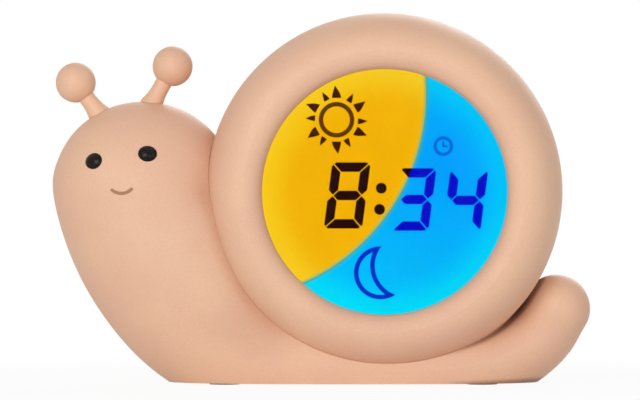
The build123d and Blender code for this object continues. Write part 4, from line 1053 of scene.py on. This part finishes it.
@dataclass(frozen=True)
class Digit:
    """One slanted digit made of bars with mitred ends."""

    name: str
    bars: tuple[Bar, ...]
    left: float
    low: float
    wide: float
    high: float
    stroke: float = 2.8
    gap: float = 0.22
    corner: float = 1.15
    slope: float = tan(radians(7.5))

    def bar(self, which: Bar, y: float) -> Piece:
        """Make one bar, upright.

        Args:
            which: The bar.
            y: Its level in millimetres.

        Returns:
            A flat face.
        """
        t, gap = self.stroke, self.gap
        x, z = self.left + self.wide / 2, self.low + self.high / 2
        up = 1 if which in (Bar.TOP, Bar.HIGH_LEFT, Bar.HIGH_RIGHT) else -1
        edge = z + up * self.high / 2
        if which is Bar.MIDDLE:
            piece = Bench.sheet((x, y, z), self.wide, t)
            for side in (-1, 1):
                tip = x + side * (self.wide / 2 - t / 2 - gap)
                Bench.trim(piece, tip, z, side, 1)
                Bench.trim(piece, tip, z, side, -1)
            return piece
        if which in (Bar.TOP, Bar.BOTTOM):
            piece = Bench.sheet((x, y, edge - up * t / 2), self.wide, t)
            for side in (-1, 1):
                end = x + side * self.wide / 2
                Bench.trim(piece, end - side * gap, edge, side, -up)
                Bench.trim(piece, end - side * self.corner, edge, side, up)
            return piece
        side = 1 if which in (Bar.HIGH_RIGHT, Bar.LOW_RIGHT) else -1
        end = x + side * self.wide / 2
        piece = Bench.sheet((end - side * t / 2, y, (z + edge) / 2), t, self.high / 2)
        Bench.trim(piece, end, edge - up * gap, -side, up)
        Bench.trim(piece, end - side * self.corner, edge, side, up)
        for slant in (-1, 1):
            Bench.trim(piece, end - side * t / 2, z + up * gap, slant, -up)
        return piece

    def build(self, y: float, thick: float) -> None:
        """Make the digit, with its front face at a level, in millimetres."""
        digit = Bench.lean(Bench.join([self.bar(which, y) for which in self.bars]), self.slope)
        Bench.done(Bench.thicken(digit, thick), self.name, SHELL_BODY, SIGN_INK)


@dataclass(frozen=True)
class Flame:
    """A flame of the sun: how far its base and its tip lie from the centre, its width and its sweep."""

    base: float
    tip: float
    wide: float
    sweep: float


@dataclass
class Display(SubAssembly):
    """Window, liquid crystal with its signs, and the lit films behind it.

    Each hand of the clock sign has its middle from the clock's along X and Z, its width and its height.
    """

    finishes = {"window_seal": SEAL_GREY, "display_window": WINDOW, "lcd_panel": LCD_GLASS,
                "display_ribbon": RIBBON, "light_box": BOX_WHITE, "day_diffuser": AMBER_MILK,
                "night_diffuser": BLUE_MILK, "led_board": LAMP_BOARD, "amber_leds": AMBER_LAMP,
                "blue_leds": BLUE_LAMP, "light_box_screws": ZINC}

    film_r: float = 38.4
    film_sides: int = 128
    arc_sides: int = 256
    film_depth: float = 0.1
    ink_depth: float = 0.2
    sheet_t: float = 0.03
    digits: tuple[Digit, ...] = (Digit("digit_hours", EIGHT, 0.64, 46.73, 11.44, 19.69),
                                 Digit("digit_tens", THREE, 20.8, 46.06, 11.05, 18.62),
                                 Digit("digit_units", FOUR, 36.08, 45.85, 11.3, 18.5))
    dots: tuple[tuple[float, float], ...] = ((17.8, 58.74), (17.29, 52.42))
    dot_r: float = 1.62
    dot_sides: int = 20
    sun_x: float = 4.47
    sun_z: float = 79.12
    sun_r: float = 5.29
    sun_stroke: float = 1.32
    long_flame: Flame = Flame(6.5, 10.0, 2.75, 0.45)
    short_flame: Flame = Flame(6.4, 9.1, 1.75, 0.25)
    short_turn: float = 26.0
    flames_each: int = 6
    flame_steps: int = 6
    flame_taper: float = 1.7
    flame_tip: float = 0.12
    flame_slack: float = 0.01
    moon_x: float = 17.58
    moon_z: float = 33.52
    moon_r: float = 7.9
    bite_x: float = 24.95
    bite_z: float = 35.65
    bite_r: float = 9.1
    moon_stroke: float = 1.35
    moon_sides: int = 96
    clock_x: float = 36.27
    clock_z: float = 71.26
    clock_r: float = 2.95
    clock_stroke: float = 0.98
    hands: tuple[tuple[float, float, float, float], ...] = ((0.0, 0.6, 0.6, 1.8), (0.5, -0.05, 1.6, 0.6))
    ink_y: float = field(init=False)
    film_y: float = field(init=False)

    def __post_init__(self) -> None:
        """Find the layers between the two glass plates of the liquid crystal."""
        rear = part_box("lcd_panel")[1].y / MM
        self.ink_y = rear - self.ink_depth
        self.film_y = rear - self.film_depth

    def sign(self, face: Piece, name: str, finish: Finish) -> None:
        """Make a sign of a flat face."""
        Bench.done(Bench.thicken(face, self.sheet_t), name, SHELL_BODY, finish)

    def films(self) -> None:
        """Two films that meet on the arc between day and night."""
        kinds = (("day_film", DAY_GLOW, "INTERSECT"), ("night_film", NIGHT_GLOW, "DIFFERENCE"))
        for name, finish, way in kinds:
            film = Bench.coin((SHELL_X, self.film_y, SHELL_Z), self.film_r, self.sheet_t, self.film_sides)
            arc = Bench.coin((ARC_X, self.film_y - PAST, ARC_Z), ARC_R, 2 * PAST, self.arc_sides)
            Bench.done(Bench.shape(film, arc, way), name, SHELL_BODY, finish)

    def time(self) -> None:
        """The time 8:34."""
        for digit in self.digits:
            digit.build(self.ink_y, self.sheet_t)
        dots = [Bench.disc((x, self.ink_y, z), self.dot_r, self.dot_sides) for x, z in self.dots]
        self.sign(Bench.join(dots), "colon", SIGN_INK)

    def ray(self, flame: Flame, angle: float) -> Piece:
        """One swept flame of the sun, made above its centre and then turned about it.

        Args:
            flame: Its sizes.
            angle: How far it is turned, in degrees.

        Returns:
            A flat face.
        """
        foot, high = self.sun_z + flame.base, flame.tip - flame.base
        ray = Bench.sheet((self.sun_x, self.ink_y, foot + high / 2), flame.wide, high)
        with Bench.edit(ray):
            bpy.ops.mesh.subdivide(number_cuts=self.flame_steps - 1)
        for step in range(1, self.flame_steps + 1):
            level = foot + high * step / self.flame_steps
            share = step / self.flame_steps
            narrow = max(1.0 - share ** self.flame_taper, self.flame_tip)
            with Bench.edit(ray, lambda spot: abs(spot.z - level) < self.flame_slack):
                bpy.ops.transform.resize(value=(narrow, 1.0, 1.0),
                                         center_override=(self.sun_x * MM, 0.0, level * MM))
                bpy.ops.transform.translate(value=(-flame.sweep * share ** 2 * MM, 0.0, 0.0))
        with Bench.edit(ray):
            bpy.ops.transform.rotate(value=radians(angle), orient_axis="Y",
                                     center_override=Vector((self.sun_x, self.ink_y, self.sun_z)) * MM)
        return ray

    def sun(self) -> None:
        """Ring with twelve swept flames, long and short in turn."""
        disc = Bench.disc((self.sun_x, self.ink_y, self.sun_z), self.sun_r)
        self.sign(Bench.ring(disc, self.sun_stroke), "sun_ring", PALE_INK)
        flames = []
        for start, flame in ((0.0, self.long_flame), (self.short_turn, self.short_flame)):
            for step in range(self.flames_each):
                flames.append(self.ray(flame, start + 360.0 / self.flames_each * step))
        self.sign(Bench.join(flames), "sun_flames", SUN_INK)

    def crescent(self, shrink: float) -> Piece:
        """Solid crescent, drawn in all round.

        Args:
            shrink: How far it is drawn in, in millimetres.

        Returns:
            The crescent.
        """
        moon = Bench.coin((self.moon_x, self.ink_y - PAST, self.moon_z), self.moon_r - shrink,
                          2 * PAST, self.moon_sides)
        bite = Bench.coin((self.bite_x, self.ink_y - 2 * PAST, self.bite_z), self.bite_r + shrink,
                          4 * PAST, self.moon_sides)
        return Bench.shape(moon, bite, "DIFFERENCE")

    def moon(self) -> None:
        """Outline of a crescent."""
        outline = Bench.shape(self.crescent(0.0), self.crescent(self.moon_stroke), "DIFFERENCE")
        layer = Bench.coin((self.moon_x, self.ink_y, self.moon_z), self.moon_r + 2 * PAST, self.sheet_t,
                           ROUNDER)
        Bench.done(Bench.shape(layer, outline, "INTERSECT"), "moon_sign", SHELL_BODY, PALE_INK)

    def clock(self) -> None:
        """Small clock: a ring with two hands."""
        face = Bench.disc((self.clock_x, self.ink_y, self.clock_z), self.clock_r, ROUND)
        parts = [Bench.ring(face, self.clock_stroke)]
        for x, z, wide, high in self.hands:
            parts.append(Bench.sheet((self.clock_x + x, self.ink_y, self.clock_z + z), wide, high))
        self.sign(Bench.join(parts), "clock_sign", FAINT_INK)

    def build(self) -> None:
        """Make the films and the signs."""
        self.films()
        self.time()
        self.sun()
        self.moon()
        self.clock()


class Sign(Enum):
    """Signs that stand on the keys, beside the slider and in the battery bay."""

    CLOCK = "clock"
    BELL = "bell"
    MINUS = "minus"
    PLUS = "plus"
    MOON = "moon"
    RING = "ring"


@dataclass
class RaisedSign:
    """A sign moulded on a flat rear face and a little sunk into it.

    Each kind has its own method, in which the numbers are shares of the sign's size.
    """

    kind: Sign
    x: float
    z: float
    face_y: float
    size: float = 3.6
    stroke: float = 0.62
    proud: float = 0.16
    sunk: float = 0.1
    thick: float = field(init=False)

    def __post_init__(self) -> None:
        """Find the whole thickness."""
        self.thick = self.sunk + self.proud

    def at(self, right: float = 0.0, up: float = 0.0, rear: float = 0.0) -> Place:
        """Place at shares of the size from the sign's middle, and millimetres to its rear."""
        return self.x + self.size * right, self.face_y - self.sunk + rear, self.z + self.size * up

    def bar(self, wide: float, high: float, right: float = 0.0, up: float = 0.0) -> Piece:
        """Plate of a width and a height in millimetres, at shares of the size from the middle."""
        return Bench.pad(self.at(right, up), wide, high, self.thick, self.stroke / 3)

    def ring(self) -> Piece:
        """Plain ring."""
        return Bench.hoop(self.at(), self.size / 2, self.stroke, self.thick)

    def minus(self) -> Piece:
        """One bar."""
        return self.bar(self.size, self.stroke)

    def plus(self) -> Piece:
        """Two bars that cross."""
        return Bench.weld([self.minus(), self.bar(self.stroke, self.size)])

    def clock(self) -> Piece:
        """Ring with two hands that meet at its middle."""
        hands = [self.bar(self.stroke, self.size * 0.4, up=0.14),
                 self.bar(self.size * 0.32, self.stroke, right=-0.1)]
        return Bench.join([self.ring(), Bench.weld(hands)])

    def moon(self) -> Piece:
        """Disc with a round bite."""
        bite = Bench.coin(self.at(-0.28, 0.14, -PAST), self.size * 0.42, 3 * PAST)
        return Bench.shape(Bench.coin(self.at(), self.size / 2, self.thick), bite, "DIFFERENCE")

    def bell(self) -> Piece:
        """Dome that flares down to a brim, with half a clapper below it.

        Returns:
            The solid sign.
        """
        size, flare, skirt_low = self.size, 1.4, self.z - self.size * 0.27
        dome = Bench.disc(self.at(up=0.16), size * 0.29)
        with Bench.edit(dome, lambda spot: spot.z < self.z + size * 0.15):
            bpy.ops.transform.resize(value=(flare, 1.0, 0.0),
                                     center_override=(self.x * MM, 0.0, skirt_low * MM))
        Bench.plain(dome)
        brim = Bench.pad(self.at(up=-0.33), size * 1.02, size * 0.11, self.thick, size * 0.04)
        clapper = Bench.disc(self.at(up=-0.42), size * 0.13, ROUND // 2)
        Bench.trim(clapper, self.x, self.z - size * 0.44, 0, 1)
        return Bench.join([Bench.thicken(dome, self.thick), brim, Bench.thicken(clapper, self.thick)])

    def build(self, name: str, body: str, finish: Finish) -> None:
        """Make the sign on its body; the method that shapes it has the name of its kind."""
        shapes = {Sign.CLOCK: self.clock, Sign.BELL: self.bell, Sign.MINUS: self.minus,
                  Sign.PLUS: self.plus, Sign.MOON: self.moon, Sign.RING: self.ring}
        Bench.done(shapes[self.kind](), name, body, finish)


@dataclass
class Controls(SubAssembly):
    """Main board, switches, keys and the alarm slider."""

    finishes = {**{f"{name}_key": CREAM for name in KEYS},
                **{f"{name}_plunger": CHIP_BLACK for name in KEYS},
                "main_board": MAIN_BOARD, "board_chips": CHIP_BLACK, "tact_switches": CHIP_BLACK,
                "alarm_slide_switch": CHIP_BLACK, "alarm_slide_knob": CREAM, "main_board_screws": ZINC,
                "led_lead": SLEEVE}

    row_dz: float = 15.5
    row: tuple[tuple[str, float, Sign], ...] = (("set", -21.0, Sign.CLOCK), ("alarm", -7.0, Sign.BELL),
                                                ("minus", 7.0, Sign.MINUS), ("plus", 21.0, Sign.PLUS))
    row_size: float = 3.6
    light_dx: float = -9.0
    light_dz: float = 28.5
    light_size: float = 5.0
    mark_dz: float = 23.9
    mark_size: float = 2.5
    marks: tuple[tuple[str, float, Sign], ...] = (("off", 14.2, Sign.RING), ("on", 19.8, Sign.BELL))
    panel_y: float = 26.0

    def key_sign(self, name: str, sign: Sign, dx: float, dz: float, size: float) -> None:
        """Sign on a key's cap, at a place from the shell's axis."""
        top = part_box(f"{name}_key")[1].y / MM
        RaisedSign(sign, SHELL_X + dx, SHELL_Z + dz, top, size).build(
            f"{name}_key_sign", f"{name}_key_cap", SIGN_BROWN)

    def build(self) -> None:
        """Signs on the keys and beside the slider."""
        for name, dx, sign in self.row:
            self.key_sign(name, sign, dx, self.row_dz, self.row_size)
        self.key_sign("light", Sign.MOON, self.light_dx, self.light_dz, self.light_size)
        for name, dx, sign in self.marks:
            mark = RaisedSign(sign, SHELL_X + dx, SHELL_Z + self.mark_dz, self.panel_y, self.mark_size,
                              stroke=0.4, proud=0.08)
            mark.build(f"slider_{name}_mark", SHELL_BODY, SIGN_BROWN)


@dataclass
class Power(SubAssembly):
    """Battery bay with its door, and the USB inlet."""

    finishes = {**{f"battery_{number}": CellWrap(f"cell_wrap_{number}", "cell_wrap", side)
                   for number, side in CELL_SIDES.items()},
                "battery_tray": PEACH_SMALL, "battery_door": PEACH_SMALL, "battery_door_screw": ZINC,
                "battery_contacts": NICKEL, "battery_springs": NICKEL, "tray_screws": ZINC,
                "battery_lead": SLEEVE, "usb_board": MAIN_BOARD, "usb_socket": NICKEL,
                "usb_board_screws": ZINC, "usb_lead": SLEEVE}

    ear_dx: float = 28.6
    bay_dz: float = -10.0
    floor_y: float = 23.15
    floor_t: float = 0.6
    ear_r: float = 5.0
    boss_r: float = 2.95
    ear_in: float = 2.0
    web_high: float = 3.6
    web_corner: float = 0.1
    mark_size: float = 2.4
    mark_in: float = 4.6
    usb_dz: float = -33.0
    tongue_y: float = 18.25
    tongue_l: float = 5.5
    tongue_wide: float = 6.9
    tongue_high: float = 0.9
    tongue_corner: float = 0.12
    pads: int = 8
    pad_pitch: float = 0.75
    pad_wide: float = 0.36
    pad_l: float = 3.6
    pad_t: float = 0.05
    pad_in: float = 0.2

    def ear_floor(self) -> None:
        """Plate under the recess of the door's ear, round the screw's boss."""
        x, z = SHELL_X + self.ear_dx, SHELL_Z + self.bay_dz
        plate = Bench.hoop((x, self.floor_y, z), self.ear_r, self.ear_r - self.boss_r, self.floor_t)
        Bench.trim(plate, x - self.ear_in, z, -1, 0)
        web = Bench.pad((x - self.ear_r, self.floor_y - PAST, z), 2 * self.ear_r, self.web_high, 3 * PAST,
                        self.web_corner)
        Bench.done(Bench.shape(plate, web, "DIFFERENCE"), "door_ear_floor", SHELL_BODY, PEACH_SMALL)

    def cell_marks(self, number: int, side: int) -> None:
        """Printed plus and minus of one cell.

        Args:
            number: The cell, 1 to 3 from the top.
            side: 1 where its positive end is on the tail's side, otherwise -1.
        """
        low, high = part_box(f"battery_{number}")
        x, z = (low.x + high.x) / 2 / MM, (low.z + high.z) / 2 / MM
        reach = (high.x - low.x) / 2 / MM - self.mark_in
        for kind, way in ((Sign.PLUS, side), (Sign.MINUS, -side)):
            mark = RaisedSign(kind, x + way * reach, z, high.y / MM, self.mark_size,
                              stroke=0.5, proud=0.03, sunk=0.16)
            mark.build(f"cell_{number}_{kind.value}", SHELL_BODY, CELL_PRINT)

    def usb_tongue(self) -> None:
        """Black sleeve of the inlet's tongue with gold pads on both sides."""
        z = SHELL_Z + self.usb_dz
        sleeve = Bench.pad((SHELL_X, self.tongue_y, z), self.tongue_wide, self.tongue_high, self.tongue_l,
                           self.tongue_corner)
        Bench.done(sleeve, "usb_tongue", SHELL_BODY, CHIP_BLACK)
        y = self.tongue_y + self.tongue_l - self.pad_l - self.pad_in
        pads = []
        for level in (z + (self.tongue_high + self.pad_t) / 2, z - (self.tongue_high + self.pad_t) / 2):
            for step in range(self.pads):
                x = SHELL_X + self.pad_pitch * (step - (self.pads - 1) / 2)
                pads.append(Bench.sheet((x, y, level), self.pad_wide, self.pad_t))
        Bench.done(Bench.thicken(Bench.join(pads), self.pad_l), "usb_pads", SHELL_BODY, GOLD)

    def build(self) -> None:
        """Close the ear's recess, print the cells and finish the inlet."""
        self.ear_floor()
        for number, side in CELL_SIDES.items():
            self.cell_marks(number, side)
        self.usb_tongue()


@dataclass
class Loudspeaker(SubAssembly):
    """Loudspeaker behind the grille in the neck."""

    finishes = {"speaker_frame": CHIP_BLACK, "speaker_cone": CONE, "speaker_magnet": FERRITE,
                "speaker_lead": SLEEVE}


# ---- Studio ----
@dataclass(frozen=True)
class Lamp:
    """Soft square lamp: its place and side in metres, and its power in watts."""

    name: str
    place: Place
    size: float
    power: float

    def build(self, aim: Vector) -> None:
        """Hang the lamp so that it looks at a place in metres.

        Args:
            aim: The place.
        """
        spot = Vector(self.place)
        turn = (aim - spot).to_track_quat("-Z", "Y").to_euler()
        bpy.ops.object.light_add(type="AREA", location=spot, rotation=turn)
        lamp = bpy.context.object
        lamp.name, lamp.data.size, lamp.data.energy = self.name, self.size, self.power


@dataclass
class Studio:
    """Pale floor, white surround, soft lamps and the camera."""

    floor_m: float = 60.0
    floor_grey: float = 0.9
    ambient: float = 0.42
    floor_glow: float = 0.925
    near: float = 90.0
    far: float = 260.0
    lamps: tuple[Lamp, ...] = (Lamp("lamp_key", (-0.66, -1.8, 0.6), 1.0, 18.2),
                               Lamp("lamp_back", (0.5, 1.9, 1.0), 1.2, 16.0),
                               Lamp("lamp_fill", (0.6, -1.75, 0.08), 0.9, 4.8),
                               Lamp("lamp_side", (1.45, -1.25, 0.4), 0.7, 1.6))
    aim_z: float = 55.0
    view_x: float = -0.45
    view_z: float = 54.9
    view_wide: float = 192.0
    view_far: float = 2500.0
    view_rise: float = 1.0
    sensor: float = 36.0

    @staticmethod
    def seen(recipe: Recipe) -> Value:
        """Tell rays that show a background from rays that light the object.

        Args:
            recipe: The tree that asks.

        Returns:
            1 for the first and 0 for the second.
        """
        path = recipe.node("ShaderNodeLightPath")
        camera, glossy, through = [Value(recipe, path.outputs[f"Is {kind} Ray"])
                                   for kind in ("Camera", "Glossy", "Transmission")]
        return camera.most(glossy).most(through)

    def surround(self) -> None:
        """White for what sees it, and softer for what it lights."""
        world = bpy.data.worlds.new("studio")
        bpy.context.scene.world = world
        recipe = Recipe(world)
        strength = self.seen(recipe) * (1.0 - self.ambient) + self.ambient
        recipe.end(recipe.node("ShaderNodeBackground", sockets={"Color": grey(1.0), "Strength": strength}))

    def floor(self) -> None:
        """Pale floor that keeps the object's shadow."""
        bpy.ops.mesh.primitive_plane_add(size=self.floor_m, location=(0.0, 0.0, 0.0))
        floor = bpy.context.object
        floor.name = "studio_floor"
        material = bpy.data.materials.new("studio_floor")
        recipe = Recipe(material)
        plain = recipe.node("ShaderNodeBsdfDiffuse", sockets={"Color": grey(self.floor_grey)})
        white = recipe.node("ShaderNodeEmission", sockets={"Color": grey(1.0), "Strength": 1.0})
        away = recipe.axis("X").hypot(recipe.axis("Y")).rise(self.near, self.far)
        share = self.seen(recipe) * (away * (1.0 - self.floor_glow) + self.floor_glow)
        sockets = {0: share, 1: plain.outputs[0], 2: white.outputs[0]}
        recipe.end(recipe.node("ShaderNodeMixShader", sockets=sockets))
        floor.data.materials.append(material)

    def camera(self) -> None:
        """Long lens, a little above the clock's middle."""
        rise = radians(self.view_rise)
        ahead, above = self.view_far * cos(rise), self.view_far * sin(rise)
        place = Vector((self.view_x, -ahead, self.view_z + above)) * MM
        bpy.ops.object.camera_add(location=place, rotation=(pi / 2 - rise, 0.0, 0.0))
        camera = bpy.context.object
        camera.name = "studio_camera"
        camera.data.sensor_width = self.sensor
        camera.data.lens = self.sensor * self.view_far / self.view_wide
        camera.data.clip_start, camera.data.clip_end = 0.1, 100.0
        bpy.context.scene.camera = camera

    def build(self) -> None:
        """Set the studio up."""
        self.surround()
        self.floor()
        for lamp in self.lamps:
            lamp.build(Vector((0.0, 0.0, self.aim_z * MM)))
        self.camera()
        bpy.context.scene.view_settings.view_transform = "Standard"


def main() -> None:
    """Build and dress each sub-assembly, then set up the studio."""
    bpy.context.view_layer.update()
    for part in (SnailBody(), RoundShell(), Display(), Controls(), Power(), Loudspeaker()):
        log.info("sub-assembly %s", type(part).__name__)
        part.build()
        part.dress()
    Studio().build()
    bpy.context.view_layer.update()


if __name__ == "__main__":
    logging.basicConfig(level=logging.INFO, format="%(name)s %(message)s")
    main()
